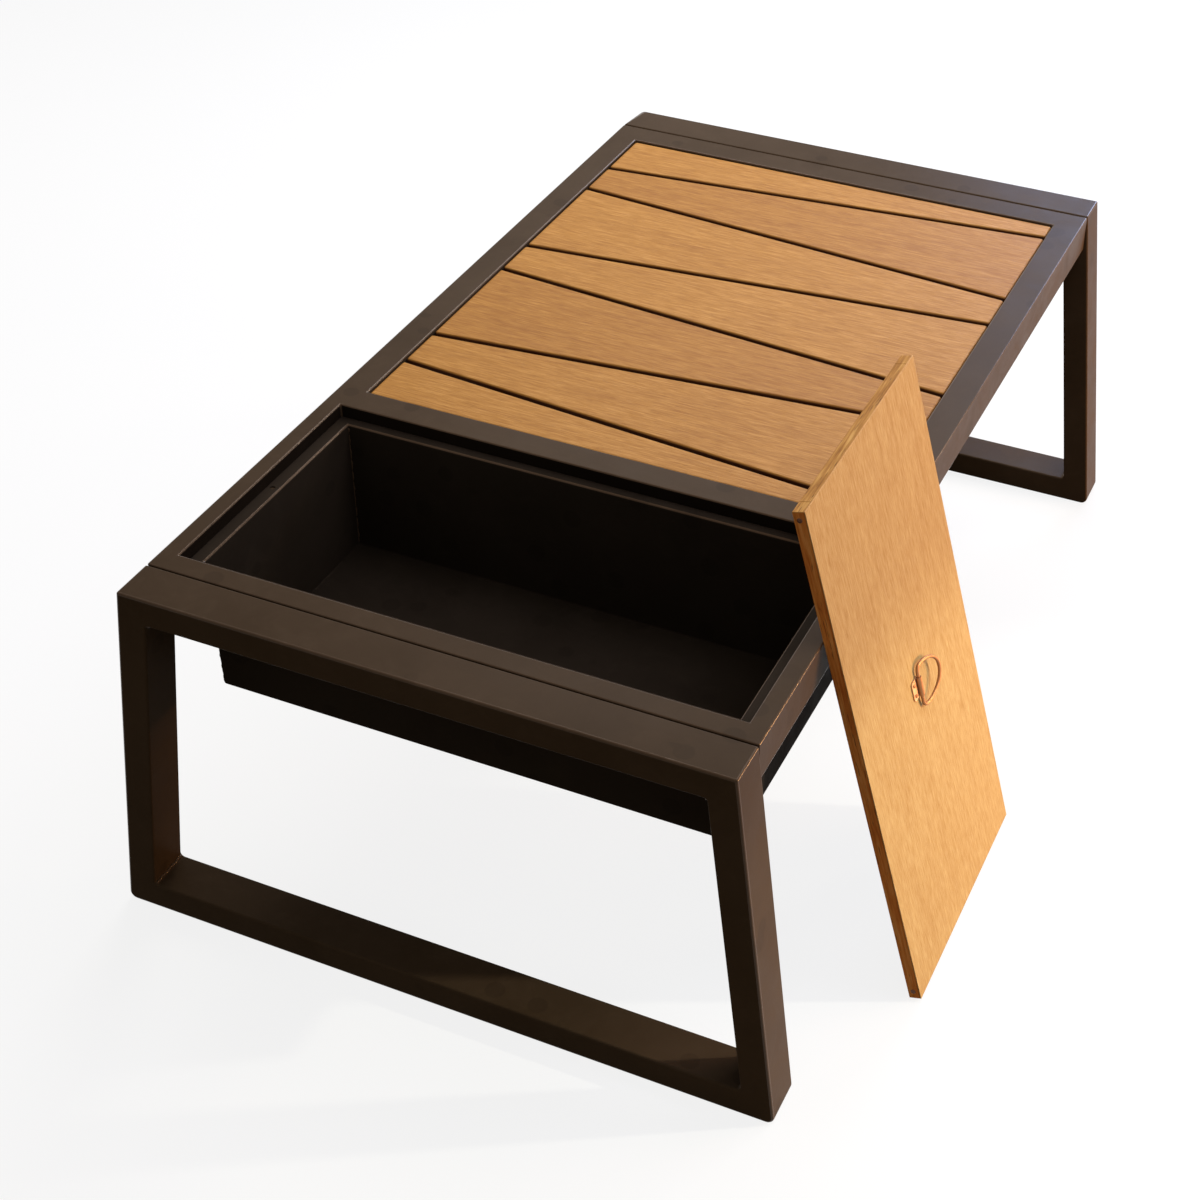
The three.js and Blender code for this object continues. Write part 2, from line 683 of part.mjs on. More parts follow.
const ringOutline = new THREE.Shape();
ringOutline.moveTo(-ringHalfLength + ringCornerRadius, 0);
ringOutline.lineTo(ringHalfLength - ringCornerRadius, 0);
ringOutline.quadraticCurveTo(ringHalfLength, 0, ringHalfLength, ringCornerRadius);
ringOutline.absellipse(0, ringCornerRadius, ringHalfLength, ringReach - ringCornerRadius, 0, Math.PI, false);
ringOutline.quadraticCurveTo(-ringHalfLength, 0, -ringHalfLength + ringCornerRadius, 0);
const ringPath = ringOutline.getPoints(ringFacets).filter(
  (point, i, all) => point.distanceTo(all[(i + 1) % all.length]) > weldTolerance,
);
const ringGeometry = closedWire(ringPath, ringWireRadius, wireFacets);
ringGeometry.rotateX(ringRestAngle);
ringGeometry.translate(pullX + ringSlideDown, pullY, barZ);
addPiece(lid, 'pull_ring', solidOf(ringGeometry), 'copper');

// The lid leans so that its back just clears the rounded upper edge of the right side rail
const railEdgeX = halfTop - railEdgeRadius;
const railEdgeZ = overallHeight - railEdgeRadius;
const lidFootX = railEdgeX
  + (Math.sin(lidLean) * railEdgeZ + railEdgeRadius + jointGap) / Math.cos(lidLean);
lid.rotation.y = Math.PI / 2 - lidLean;
lid.position.set(lidFootX, -halfLength + lidSetback + lidHalfWidth, 0);
table.add(lid);

// The origin lies on the ground under the middle of everything, the leaning lid included. A foot's rounded
// corner stands back from the sharp one.
const footSetback = footCornerRadius * (Math.tan(legSplay) + 1 / Math.cos(legSplay) - 1);
const lidOuterX = lidFootX + lidThickness * Math.cos(lidLean);
table.position.x = (halfFoot - footSetback - lidOuterX) / 2;

export default table;
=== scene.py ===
from math import pi, radians

import bmesh
import bpy
import numpy as np
from mathutils import Matrix, Vector


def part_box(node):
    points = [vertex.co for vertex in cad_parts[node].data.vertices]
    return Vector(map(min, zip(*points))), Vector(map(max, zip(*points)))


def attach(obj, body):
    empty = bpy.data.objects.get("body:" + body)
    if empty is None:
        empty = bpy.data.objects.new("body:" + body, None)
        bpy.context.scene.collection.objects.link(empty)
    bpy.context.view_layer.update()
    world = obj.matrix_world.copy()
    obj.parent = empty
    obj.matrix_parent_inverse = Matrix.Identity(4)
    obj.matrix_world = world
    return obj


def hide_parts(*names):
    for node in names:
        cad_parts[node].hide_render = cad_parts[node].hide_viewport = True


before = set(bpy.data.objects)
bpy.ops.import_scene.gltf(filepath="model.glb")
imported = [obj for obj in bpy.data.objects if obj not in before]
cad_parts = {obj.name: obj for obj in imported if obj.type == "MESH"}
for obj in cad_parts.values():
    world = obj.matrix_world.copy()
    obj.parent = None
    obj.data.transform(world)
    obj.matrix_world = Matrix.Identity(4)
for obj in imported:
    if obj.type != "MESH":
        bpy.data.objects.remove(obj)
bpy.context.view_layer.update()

# The studio
# A white floor and surround, five soft boxes and a low sun. One box is low and warm on the lid's side, two
# stand beyond the far end and two hang above. The camera stands where the photograph was taken.


def linear(hex_colour):
    """sRGB hex to linear light: a channel c becomes ((c + 0.055) / 1.055) ** 2.4, or c / 12.92 where dark."""
    channels = np.array([int(hex_colour[i:i + 2], 16) for i in (1, 3, 5)]) / 255
    straight = np.where(channels > 0.04045, ((channels + 0.055) / 1.055) ** 2.4, channels / 12.92)
    return (*straight.tolist(), 1.0)


def node(tree, kind, inputs=(), **settings):
    """Adds a node with its settings, and gives each input a value or a link from another node's output."""
    made = tree.nodes.new(kind)
    for setting, value in settings.items():
        setattr(made, setting, value)
    for key, value in dict(inputs).items():
        if isinstance(value, bpy.types.NodeSocket):
            tree.links.new(value, made.inputs[key])
        else:
            made.inputs[key].default_value = value
    return made


def empty_material(name):
    """A material with nothing in its node tree yet, and that tree."""
    material = bpy.data.materials.new(name)
    material.use_nodes = True
    material.node_tree.nodes.clear()
    return material, material.node_tree


def seen_directly(tree):
    """1 for rays from the camera, a mirror or clear glass, and 0 for rays that carry diffuse light."""
    path = node(tree, "ShaderNodeLightPath").outputs
    seen = path["Is Camera Ray"]
    for kind in ("Is Glossy Ray", "Is Transmission Ray"):
        seen = node(tree, "ShaderNodeMath", {0: seen, 1: path[kind]}, operation="MAXIMUM").outputs[0]
    return seen


surround = bpy.data.worlds.new("white_surround")
surround.use_nodes = True
surround.node_tree.nodes.clear()
bpy.context.scene.world = surround
bpy.context.scene.view_settings.view_transform = "Standard"
lighting = node(surround.node_tree, "ShaderNodeBackground", {"Color": linear("#F2EEE8"), "Strength": 0.33})
shown = node(surround.node_tree, "ShaderNodeBackground", {"Color": linear("#FFFFFF"), "Strength": 1.0})
either_light = node(surround.node_tree, "ShaderNodeMixShader", {
    0: seen_directly(surround.node_tree), 1: lighting.outputs[0], 2: shown.outputs[0],
})
node(surround.node_tree, "ShaderNodeOutputWorld", {"Surface": either_light.outputs[0]})

# White to the eye, a warm grey to the light that it throws back, and still darkened by the table's shadow
floor_paper, paper_tree = empty_material("matt_white_floor_paper")
glow_share = 0.84
warm_bounce = node(paper_tree, "ShaderNodeBsdfDiffuse", {"Color": linear("#6A5A42")})
white_paper = node(paper_tree, "ShaderNodeBsdfDiffuse", {"Color": linear("#FFFFFF")})
white_glow = node(paper_tree, "ShaderNodeEmission", {"Color": linear("#FFFFFF"), "Strength": 1.0})
soft_shadow = node(paper_tree, "ShaderNodeMixShader", {
    0: glow_share, 1: white_paper.outputs[0], 2: white_glow.outputs[0],
})
paper = node(paper_tree, "ShaderNodeMixShader", {
    0: seen_directly(paper_tree), 1: warm_bounce.outputs[0], 2: soft_shadow.outputs[0],
})
node(paper_tree, "ShaderNodeOutputMaterial", {"Surface": paper.outputs[0]})

# The floor lies a hair under the feet, so that no two faces share a plane
floor_reach = 40
floor_drop = 0.0004
floor_mesh = bpy.data.meshes.new("floor")
floor_mesh.from_pydata(
    [(x * floor_reach, y * floor_reach, -floor_drop) for x, y in ((-1, -1), (1, -1), (1, 1), (-1, 1))],
    [], [(0, 1, 2, 3)],
)
floor_mesh.materials.append(floor_paper)
floor = bpy.data.objects.new("floor", floor_mesh)
bpy.context.scene.collection.objects.link(floor)

camera_place = (0.7774, -1.8969, 1.6772)
camera_heading = radians(23.31)
camera_dip = radians(35.19)
camera_roll = radians(0.82)
camera_lens = bpy.data.cameras.new("photo_camera")
camera_lens.sensor_width = 36
camera_lens.lens = 65.10
camera_lens.shift_x = -0.0626
camera_lens.shift_y = -0.0683
camera = bpy.data.objects.new("photo_camera", camera_lens)
camera.matrix_world = (
    Matrix.Translation(camera_place)
    @ Matrix.Rotation(camera_heading, 4, "Z")
    @ Matrix.Rotation(pi / 2 - camera_dip, 4, "X")
    @ Matrix.Rotation(camera_roll, 4, "Z")
)
bpy.context.scene.collection.objects.link(camera)
bpy.context.scene.camera = camera


def soft_box(name, place, aim, width, height, watts, colour):
    """A rectangular lamp that faces a point and that the camera can't see."""
    lamp_data = bpy.data.lights.new(name, "AREA")
    lamp_data.shape = "RECTANGLE"
    lamp_data.size = width
    lamp_data.size_y = height
    lamp_data.energy = watts
    lamp_data.color = linear(colour)[:3]
    lamp = bpy.data.objects.new(name, lamp_data)
    turn = (Vector(aim) - Vector(place)).to_track_quat("-Z", "Y").to_matrix().to_4x4()
    lamp.matrix_world = Matrix.Translation(place) @ turn
    lamp.visible_camera = False
    bpy.context.scene.collection.objects.link(lamp)


soft_box("warm_low_lamp", (2.2, 1.0, 0.25), (0.2, 0.0, 0.25), 0.9, 0.3, 62, "#FFBE7C")
soft_box("far_soft_box", (0.25, 2.5, 1.35), (0.15, 0.2, 0.42), 1.2, 0.8, 33, "#B4CCFF")
soft_box("overhead_soft_box", (-0.45, 1.6, 2.1), (-0.1, 0.0, 0.42), 1.5, 1.4, 42, "#F6F2EE")
soft_box("far_right_glint", (1.35, 1.8, 1.5), (0.0, 0.0, 0.4), 0.35, 0.35, 9, "#FFF1DC")
soft_box("upper_right_soft_box", (0.75, 0.1, 1.9), (0.15, -0.2, 0.4), 0.8, 0.8, 12, "#F4F1FF")

# A low sun whose cone lights only the lower right: its edge crosses the lid's face slantwise
sun_aim = np.array([0.3087, -0.2616, 0.3695])
sunward = np.array([0.7780, 0.3804, 0.5000])
shaded_side = np.array([-0.585, 0.154, 0.796])
sun_distance = 3.5
lit_radius = 0.9
sun_data = bpy.data.lights.new("low_sun", "SPOT")
sun_data.energy = 340
sun_data.color = linear("#FFFAE6")[:3]
sun_data.shadow_soft_size = 0.06
sun_data.spot_size = 2 * np.arctan(lit_radius / sun_distance)
sun_data.spot_blend = 0.12
sun = bpy.data.objects.new("low_sun", sun_data)
sun_place = Vector(sun_aim + sunward * sun_distance)
sun_turn = (Vector(sun_aim - shaded_side * lit_radius) - sun_place).to_track_quat("-Z", "Y")
sun.matrix_world = Matrix.Translation(sun_place) @ sun_turn.to_matrix().to_4x4()
bpy.context.scene.collection.objects.link(sun)

# The two leg loops
# Each is four lengths of 50 by 32 mm rectangular aluminium tube, mitred, welded into a closed trapezoid and
# ground smooth before coating, so that no joint shows but for a bead of weld in each inner corner.

table_middle_x = -0.039798
loop_depth = 0.050
loop_face = 0.032
loop_edge_radius = 0.0025
half_top = 0.320
table_height = 0.424
leg_splay = radians(6.85)
half_foot = half_top + table_height * np.tan(leg_splay)
half_length = 0.600
loop_corners = np.array([
    [-half_foot, 0], [half_foot, 0], [half_top, table_height], [-half_top, table_height],
]) + [table_middle_x, 0]


def rounded_rectangle(half_width, half_height, radius, steps):
    """Points round a rectangle: each corner's centre plus the radius times (cos, sin) of a quarter turn.
    Sizes may be columns of values, one for each row of the two grids that it gives back."""
    half_width, half_height, radius = (
        np.atleast_1d(np.asarray(size, float))[:, None] for size in (half_width, half_height, radius)
    )
    turn = (np.arange(4)[:, None] * pi / 2 + np.linspace(0, pi / 2, steps)).ravel()
    side_x = np.repeat([1, -1, -1, 1], steps)
    side_y = np.repeat([1, 1, -1, -1], steps)
    across = side_x * (half_width - radius) + radius * np.cos(turn)
    upward = side_y * (half_height - radius) + radius * np.sin(turn)
    return across, upward


def skin(name, grid, joined=False):
    """A closed mesh over a grid of points: each row closes on itself, neighbouring rows share faces, and
    the end rows are joined to each other or closed with a flat face each. Its faces are turned outwards."""
    rows, columns = grid.shape[:2]
    index = np.arange(rows * columns).reshape(rows, columns)
    here = index if joined else index[:-1]
    ahead = np.roll(index, -1, axis=0) if joined else index[1:]
    faces = np.stack([here, np.roll(here, -1, 1), np.roll(ahead, -1, 1), ahead], -1).reshape(-1, 4).tolist()
    if not joined:
        faces += [index[0, ::-1].tolist(), index[-1].tolist()]
    return solid_mesh(name, grid.reshape(-1, 3), faces)


def solid_mesh(name, points, faces):
    """A mesh object from points and faces, shaded smooth except over its sharp edges."""
    sharp_angle = radians(35)
    mesh = bpy.data.meshes.new(name)
    mesh.from_pydata(np.asarray(points).tolist(), [], faces)
    turned = bmesh.new()
    turned.from_mesh(mesh)
    if turned.calc_volume(signed=True) < 0:
        bmesh.ops.reverse_faces(turned, faces=turned.faces)
    turned.to_mesh(mesh)
    turned.free()
    mesh.shade_smooth()
    mesh.set_sharp_from_angle(angle=sharp_angle)
    piece = bpy.data.objects.new(name, mesh)
    bpy.context.scene.collection.objects.link(piece)
    return piece


def fit(piece, materials, slot, body, *nodes):
    """Finishes a piece: the materials that it hasn't got yet, the body it rides on, the CAD nodes it stands
    for, and flat faces that stay flat to the light beside their rounded edges. The slot is not used."""
    for material in materials:
        piece.data.materials.append(material)
    piece.modifiers.new("flat_faces", "WEIGHTED_NORMAL").keep_sharp = True
    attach(piece, body)
    if nodes:
        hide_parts(*nodes)


def give_faces(piece, materials, chosen):
    """Gives a new piece its materials, and each face the one whose number is chosen for it."""
    for material in materials:
        piece.data.materials.append(material)
    piece.data.polygons.foreach_set("material_index", np.asarray(chosen, np.int32))


def face_places(piece):
    """The normal and the middle of each face, a row for each."""
    normals = np.empty(3 * len(piece.data.polygons), np.float32)
    middles = np.empty(3 * len(piece.data.polygons), np.float32)
    piece.data.polygons.foreach_get("normal", normals)
    piece.data.polygons.foreach_get("center", middles)
    return normals.reshape(-1, 3), middles.reshape(-1, 3)


def painted_shade_faces(piece):
    """True for each face that stands steeper than about 45 degrees or looks down, except on the table's
    open right side: the faces that take the coat's copy with painted shade."""
    limit_cosine = 0.7
    normals, middles = face_places(piece)
    open_side = (normals[:, 0] > limit_cosine) & (middles[:, 0] > 0)
    return (normals[:, 2] < limit_cosine) & ~open_side


def tube_loop(name, corners, outer_radii, inner_radius, near_y, worn_highlight_side):
    """A tube carried round a closed outline with rounded corners. A corner's arc at depth n below the outer
    face has its centre at P + b (n + R) / sin h, where P is the sharp corner, b the unit bisector and h half
    of the corner's angle. R is the outer radius less n in the outer half, and the inner radius plus the rest
    of the tube's face in the inner half. Each outer radius runs straight from its value on the near side to
    its value on the far side. The worn edge, lighter with wear and a painted highlight, is the near or far
    one of the outer face."""
    bend_steps = 9
    edge_steps = 5
    least_radius = 0.0003
    before = np.roll(corners, 1, axis=0) - corners
    after = np.roll(corners, -1, axis=0) - corners
    before /= np.linalg.norm(before, axis=1, keepdims=True)
    after /= np.linalg.norm(after, axis=1, keepdims=True)
    bisector = before + after
    bisector /= np.linalg.norm(bisector, axis=1, keepdims=True)
    sine = np.sin(np.arccos((before * after).sum(1)) / 2)
    start_turn = np.arctan2(before[:, 0], -before[:, 1])
    end_turn = np.arctan2(-after[:, 0], after[:, 1])
    end_turn += np.where(end_turn < start_turn, 2 * pi, 0)
    turn = (start_turn[:, None] + (end_turn - start_turn)[:, None] * np.linspace(0, 1, bend_steps)).ravel()
    corner = np.repeat(np.arange(4), bend_steps)
    depth, along = rounded_rectangle(loop_face / 2, loop_depth / 2, loop_edge_radius, edge_steps)
    depth = depth[0] + loop_face / 2
    near_radius, far_radius = np.transpose(outer_radii)[:, corner, None]
    outer = near_radius + (far_radius - near_radius) * (along / loop_depth + 0.5)
    outer = np.maximum(outer - depth, least_radius)
    radius = np.where(depth < loop_face / 2, outer, inner_radius + loop_face - depth)
    outward = np.stack([np.cos(turn), np.sin(turn)], -1)[:, None]
    reach = ((depth + radius) / sine[corner][:, None])[..., None]
    place = corners[corner][:, None] + bisector[corner][:, None] * reach + outward * radius[..., None]
    y = np.broadcast_to(near_y + loop_depth / 2 + along[0], radius.shape)
    loop = skin(name, np.stack([place[..., 0], y, place[..., 1]], -1), joined=True)
    # The worn edge and the top corners' outer arcs take the worn coat, lighter with wear and a painted
    # highlight; sheltered faces take the coat's copy with painted shade
    row, column = np.divmod(np.arange(len(loop.data.polygons)), 4 * edge_steps)
    worn_highlight_edge = (column // edge_steps == worn_highlight_side) & (column % edge_steps < edge_steps - 1)
    outer_face = column == 2 * edge_steps - 1
    worn_highlight_corner = (row // bend_steps >= 2) & (row % bend_steps < bend_steps - 1) & outer_face
    give_faces(loop, frame_coats, np.where(worn_highlight_edge | worn_highlight_corner, 1, 2 * painted_shade_faces(loop)))
    return loop


def powder_coat(name, colour, worn_colour, roughness, shine):
    """Satin powder coat on aluminium: a plastic skin with a fine orange peel (about 1.5 mm, drawn at 2.5 mm
    so that it shows), slow drifts of tone, dull rubbed patches a few centimetres wide, and here and there
    the faint round mark of a drop that dried on it."""
    drift_mm = 111
    patch_mm = 38.46
    peel_mm = 2.5
    dried_drop = linear("#14100C")
    material, tree = empty_material(name)
    place = node(tree, "ShaderNodeTexCoord").outputs["Object"]
    drift = node(tree, "ShaderNodeTexNoise", {
        "Vector": place, "Scale": 1000 / drift_mm, "Detail": 5.0, "Roughness": 0.6,
    })
    rubbed = node(tree, "ShaderNodeTexNoise", {
        "Vector": place, "Scale": 1000 / patch_mm, "Detail": 7.0, "Roughness": 0.72, "Distortion": 0.6,
    })
    rubbed_share = node(tree, "ShaderNodeMapRange", {
        "Value": rubbed.outputs["Fac"], "From Min": 0.5, "From Max": 0.78, "To Min": 0.0, "To Max": 0.55,
    })
    tone = node(tree, "ShaderNodeMapRange", {
        "Value": drift.outputs["Fac"], "From Min": 0.3, "From Max": 0.7, "To Min": 0.0, "To Max": 0.5,
    })
    drifting = node(tree, "ShaderNodeMix", {
        0: tone.outputs[0], 6: linear(colour), 7: linear(worn_colour),
    }, data_type="RGBA")
    coloured = node(tree, "ShaderNodeMix", {
        0: rubbed_share.outputs[0], 6: drifting.outputs[2], 7: linear(worn_colour),
    }, data_type="RGBA")
    drops = node(tree, "ShaderNodeTexVoronoi", {"Vector": place, "Scale": 1000 / patch_mm, "Randomness": 1.0})
    disc = node(tree, "ShaderNodeMapRange", {
        "Value": drops.outputs["Distance"], "From Min": 0.30, "From Max": 0.26, "To Min": 0.0, "To Max": 1.0,
    })
    wetted = node(tree, "ShaderNodeMapRange", {
        "Value": drops.outputs["Color"], "From Min": 0.60, "From Max": 0.62, "To Min": 0.0, "To Max": 0.16,
    })
    drop_mark = node(tree, "ShaderNodeMath", {0: disc.outputs[0], 1: wetted.outputs[0]}, operation="MULTIPLY")
    marked = node(tree, "ShaderNodeMix", {
        0: drop_mark.outputs[0], 6: coloured.outputs[2], 7: dried_drop,
    }, data_type="RGBA")
    gloss = node(tree, "ShaderNodeMapRange", {
        "Value": rubbed.outputs["Fac"], "From Min": 0.35, "From Max": 0.75,
        "To Min": roughness - 0.04, "To Max": roughness + 0.09,
    })
    peel = node(tree, "ShaderNodeTexNoise", {
        "Vector": place, "Scale": 1000 / peel_mm, "Detail": 2.0, "Roughness": 0.5,
    })
    relief = node(tree, "ShaderNodeBump", {
        "Strength": 0.10, "Distance": 0.0004, "Height": peel.outputs["Fac"],
    })
    coat = node(tree, "ShaderNodeBsdfPrincipled", {
        "Base Color": marked.outputs[2], "Roughness": gloss.outputs[0], "IOR": 1.5,
        "Specular IOR Level": shine, "Specular Tint": linear("#7A5C40"), "Normal": relief.outputs[0],
    })
    node(tree, "ShaderNodeOutputMaterial", {"Surface": coat.outputs[0]})
    return material


# Dark bronze polyester powder coat: a satin brown that turns grey where it mirrors the sky at a low angle
bronze_coat = powder_coat("bronze_powder_coated_aluminium", "#413325", "#4F4031", 0.34, shine=0.03)
# The same coat run thin over a tube's rounded edge and polished by hands, and painted lighter as a highlight:
# a fine brighter line
bronze_worn_edges_and_highlight = powder_coat("bronze_powder_coat_worn_and_painted_highlight_on_edges", "#4C3C2E", "#625040", 0.16, shine=0.4)
# A copy of the same coat with its reflection all but taken away, as painted shade on upright and sheltered
# faces: a deep matt brown
bronze_sides_painted_shade = powder_coat("bronze_powder_coat_painted_shade_on_upright_faces", "#413325", "#4F4031", 0.42, shine=0.004)
frame_coats = (bronze_coat, bronze_worn_edges_and_highlight, bronze_sides_painted_shade)

# The feet are softly rounded and the tops nearly sharp, but the far loop's left top corner is ground
# rounder on its outer side. Each loop's worn edge, lighter with wear and a painted highlight, is the one
# that looks away from the table, numbered as the section's corners are.
loop_inner_radius = 0.0045
foot_radius = (0.0082, 0.0082)
top_radius = (0.002, 0.002)
ground_top_radius = (0.002, 0.012)
for end, near_y, worn_highlight_side, left_top_radius in (
    ("near", -half_length, 2, top_radius), ("far", half_length - loop_depth, 1, ground_top_radius),
):
    radii = (foot_radius, foot_radius, top_radius, left_top_radius)
    leg_loop = tube_loop(f"{end}_leg_loop", loop_corners, radii, loop_inner_radius, near_y, worn_highlight_side)
    tubes = [f"{end}_{side}" for side in ("foot_beam", "right_post", "top_beam", "left_post")]
    fit(leg_loop, (), "bronze_frame", "frame", *tubes)


def weld_bead(name, start, end, radius, wander):
    """A run of weld along a straight line: a round bead whose radius is r (1 - w + w |cos(pi s / p)|) at s
    along it, p being the length of one pool of metal and w its ripple. Its middle wanders by two sines."""
    pool_length = 0.0026
    ripple = 0.22
    slow_radians_per_m = 410
    quick_radians_per_m = 923
    slantwise = (0.31, 0.47, 0.83)
    start, end = np.asarray(start, float), np.asarray(end, float)
    length = np.linalg.norm(end - start)
    along = (end - start) / length
    across = np.cross(along, slantwise)
    across /= np.linalg.norm(across)
    upward = np.cross(along, across)
    s = np.linspace(0, length, int(4 * length / pool_length))[:, None]
    swell = radius * (1 - ripple + ripple * np.abs(np.cos(pi * s / pool_length)))
    swell *= np.sqrt(np.clip(np.minimum(s, length - s) / radius + 0.05, 0, 1))
    drift = wander * (np.sin(s * slow_radians_per_m) + 0.6 * np.sin(s * quick_radians_per_m + 1.1))
    turn = np.linspace(0, 2 * pi, 10, endpoint=False)
    right, up = drift + swell * np.cos(turn), 0.5 * drift + swell * np.sin(turn)
    return skin(name, start + s[..., None] * along + right[..., None] * across + up[..., None] * upward)


# The ground welds still stand a little proud inside the four corners
weld_radius = 0.0017
weld_wander = 0.0004
weld_inset = 0.0013
weld_rise = 0.0014
weld_end_gap = 0.0015
inside_half = half_foot - loop_face / np.cos(leg_splay)
inner_top_z = table_height - loop_face
for end, near_y in (("near", -half_length), ("far", half_length - loop_depth)):
    for corner, way, inner_z, inward in (
        ("foot_left", -1, loop_face, 1), ("foot_right", 1, loop_face, 1),
        ("top_right", 1, inner_top_z, -1), ("top_left", -1, inner_top_z, -1),
    ):
        x = table_middle_x + way * (inside_half - inner_z * np.tan(leg_splay) - weld_inset)
        z = inner_z + inward * weld_rise
        start, stop = (x, near_y + weld_end_gap, z), (x, near_y + loop_depth - weld_end_gap, z)
        bead = weld_bead(f"{end}_{corner}_weld", start, stop, weld_radius, weld_wander)
        # The beads take the worn coat, lighter with wear and a painted highlight
        fit(bead, (bronze_worn_edges_and_highlight,), "bronze_frame", "frame")

# The top frame
# Side rails, three cross rails and the slats' two trims are aluminium tube, welded and ground flush before
# coating, so they read as one piece. Four bolts, reached from inside, hold it between the leg loops.

# The seam to each leg loop stands open by this much and shows as a dark line
seam_gap = 0.0014
frame_end_y = half_length - loop_depth - seam_gap
rail_bottom_z = 0.379
trim_bottom_z = 0.404
rail_edge_radius = 0.0015
opening_half_x = 0.300
opening_y = (-0.5237, -0.2207)
slat_bay_half_x = 0.286
slat_bay_y = (-0.1867, 0.5117)
rail_x = np.array([-half_top, -opening_half_x, -slat_bay_half_x, slat_bay_half_x, opening_half_x, half_top])
rail_y = np.array([-frame_end_y, *opening_y, *slat_bay_y, frame_end_y])
rail_z = np.array([rail_bottom_z, trim_bottom_z, table_height])


def box_walls(cuts, filled):
    """The skin of a grid's filled cells: a face stands wherever a filled cell meets an empty one."""
    counts = [len(places) for places in cuts]
    faces = []
    for axis in range(3):
        rim = [(1, 1) if other == axis else (0, 0) for other in range(3)]
        change = np.diff(np.pad(filled.astype(int), rim), axis=axis)
        cell = np.argwhere(change)
        first, second = np.eye(3, dtype=int)[(axis + 1) % 3], np.eye(3, dtype=int)[(axis + 2) % 3]
        quad = np.stack([cell, cell + first, cell + first + second, cell + second], 1)
        opens = change[tuple(cell.T)] > 0
        quad[opens] = quad[opens][:, ::-1]
        faces.append(np.ravel_multi_index(quad.reshape(-1, 3).T, counts).reshape(-1, 4))
    used, faces = np.unique(np.concatenate(faces), return_inverse=True)
    cell = np.stack(np.unravel_index(used, counts), -1)
    points = np.stack([cuts[axis][cell[:, axis]] for axis in range(3)], -1)
    return points, faces.reshape(-1, 4).tolist()


# The cells between those places that are tube: the side rails, the cross rails and the slats' trims
filled_cells = np.zeros((5, 5, 2), bool)
filled_cells[[0, 4]] = True
filled_cells[:, [0, 2, 4]] = True
filled_cells[[1, 3], 3, 1] = True
top_frame = solid_mesh("top_frame", *box_walls([rail_x + table_middle_x, rail_y, rail_z], filled_cells))
# A painted shade: the same coat made almost black on the steep walls deep in the opening, where the
# photograph shows it almost black
bronze_painted_deep_shade = powder_coat("bronze_powder_coat_painted_deep_shade", "#1C1611", "#261E17", 0.42, shine=0.004)
# Steep faces take the coat's copy with painted shade, and those on the opening's walls the near-black painted
# shade
painted_shade_steep = painted_shade_faces(top_frame)
middle_x, middle_y, _ = face_places(top_frame)[1].T
on_walls = 0.0003
painted_shade_opening = abs(middle_x - table_middle_x) < opening_half_x + on_walls
painted_shade_opening &= (middle_y > opening_y[0] - on_walls) & (middle_y < opening_y[1] + on_walls)
give_faces(top_frame, (*frame_coats, bronze_painted_deep_shade), np.where(painted_shade_steep & painted_shade_opening, 3, 2 * painted_shade_steep))
rounding = top_frame.modifiers.new("drawn_tube_edges", "BEVEL")
rounding.width = rail_edge_radius
rounding.segments = 3
rounding.limit_method = "ANGLE"
rounding.angle_limit = radians(40)
rounding.harden_normals = True
# The rounded edges take the worn coat, lighter with wear and a painted highlight
rounding.material = 1
fit(
    top_frame, (), "bronze_frame", "frame", "left_side_rail", "right_side_rail",
    "near_rail", "middle_rail", "far_rail", "left_slat_trim", "right_slat_trim",
)

# The tub ledges and the slat bearers
# Two short tubes along the opening, welded to the side rails, carry the tub's flange. Two flat bars, welded
# between the middle and far rails, carry the slats.

plank_steps = 4


def plank(start, end, low_sides, high_sides, bottom, top, radius, steps=plank_steps):
    """A board between two stations along its length. Its two sides run straight from one place to another,
    its section is a rounded rectangle, and near each end the section draws in by r - sqrt(r² - (r - s)²) at
    s from it, while its corners tighten, down to a share of their radius."""
    tightening = 0.6
    least_share = 0.35
    turn = np.linspace(0, pi / 2, steps)
    run_in = radius * (1 - np.cos(turn))
    draw_in = radius * (1 - np.sin(turn))
    along = np.concatenate([start + run_in, end - run_in[::-1]])
    inset = np.concatenate([draw_in, draw_in[::-1]])
    share = (along - start) / (end - start)
    low = low_sides[0] + (low_sides[1] - low_sides[0]) * share
    high = high_sides[0] + (high_sides[1] - high_sides[0]) * share
    corner = np.maximum(radius - tightening * inset, least_share * radius)
    across, upward = rounded_rectangle((high - low) / 2 - inset, (top - bottom) / 2 - inset, corner, steps)
    across += ((high + low) / 2)[:, None]
    upward += (top + bottom) / 2
    return np.stack([np.broadcast_to(along[:, None], across.shape), across, upward], -1)


def plank_along_y(name, low, high, radius):
    """A straight plank that runs along Y between two corners."""
    grid = plank(low[1], high[1], (low[0], low[0]), (high[0], high[0]), low[2], high[2], radius)
    return skin(name, grid[..., [1, 0, 2]])


bar_edge_radius = 0.0009
for side in ("left", "right"):
    for piece, node_end, radius in (
        ("ledge_tube", "tub_ledge", rail_edge_radius), ("bearer_bar", "slat_bearer", bar_edge_radius),
    ):
        bar = plank_along_y(f"{side}_{piece}", *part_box(f"{side}_{node_end}"), radius)
        fit(bar, (bronze_coat,), "bronze_frame", "frame", f"{side}_{node_end}")

# The bolts and the slat screws
# Zinc-plated steel: socket-head bolts in the end rails, and cross-head screws up through the bearers.


def circle(turn, radius):
    """A round section's radius at each angle: the same all round."""
    return np.full_like(turn, radius)


def hexagon(turn, across_flats):
    """A hexagon's radius at each angle: half its width over the cosine of the angle from the nearest flat."""
    return across_flats / 2 / np.cos((turn + pi / 6) % (pi / 3) - pi / 6)


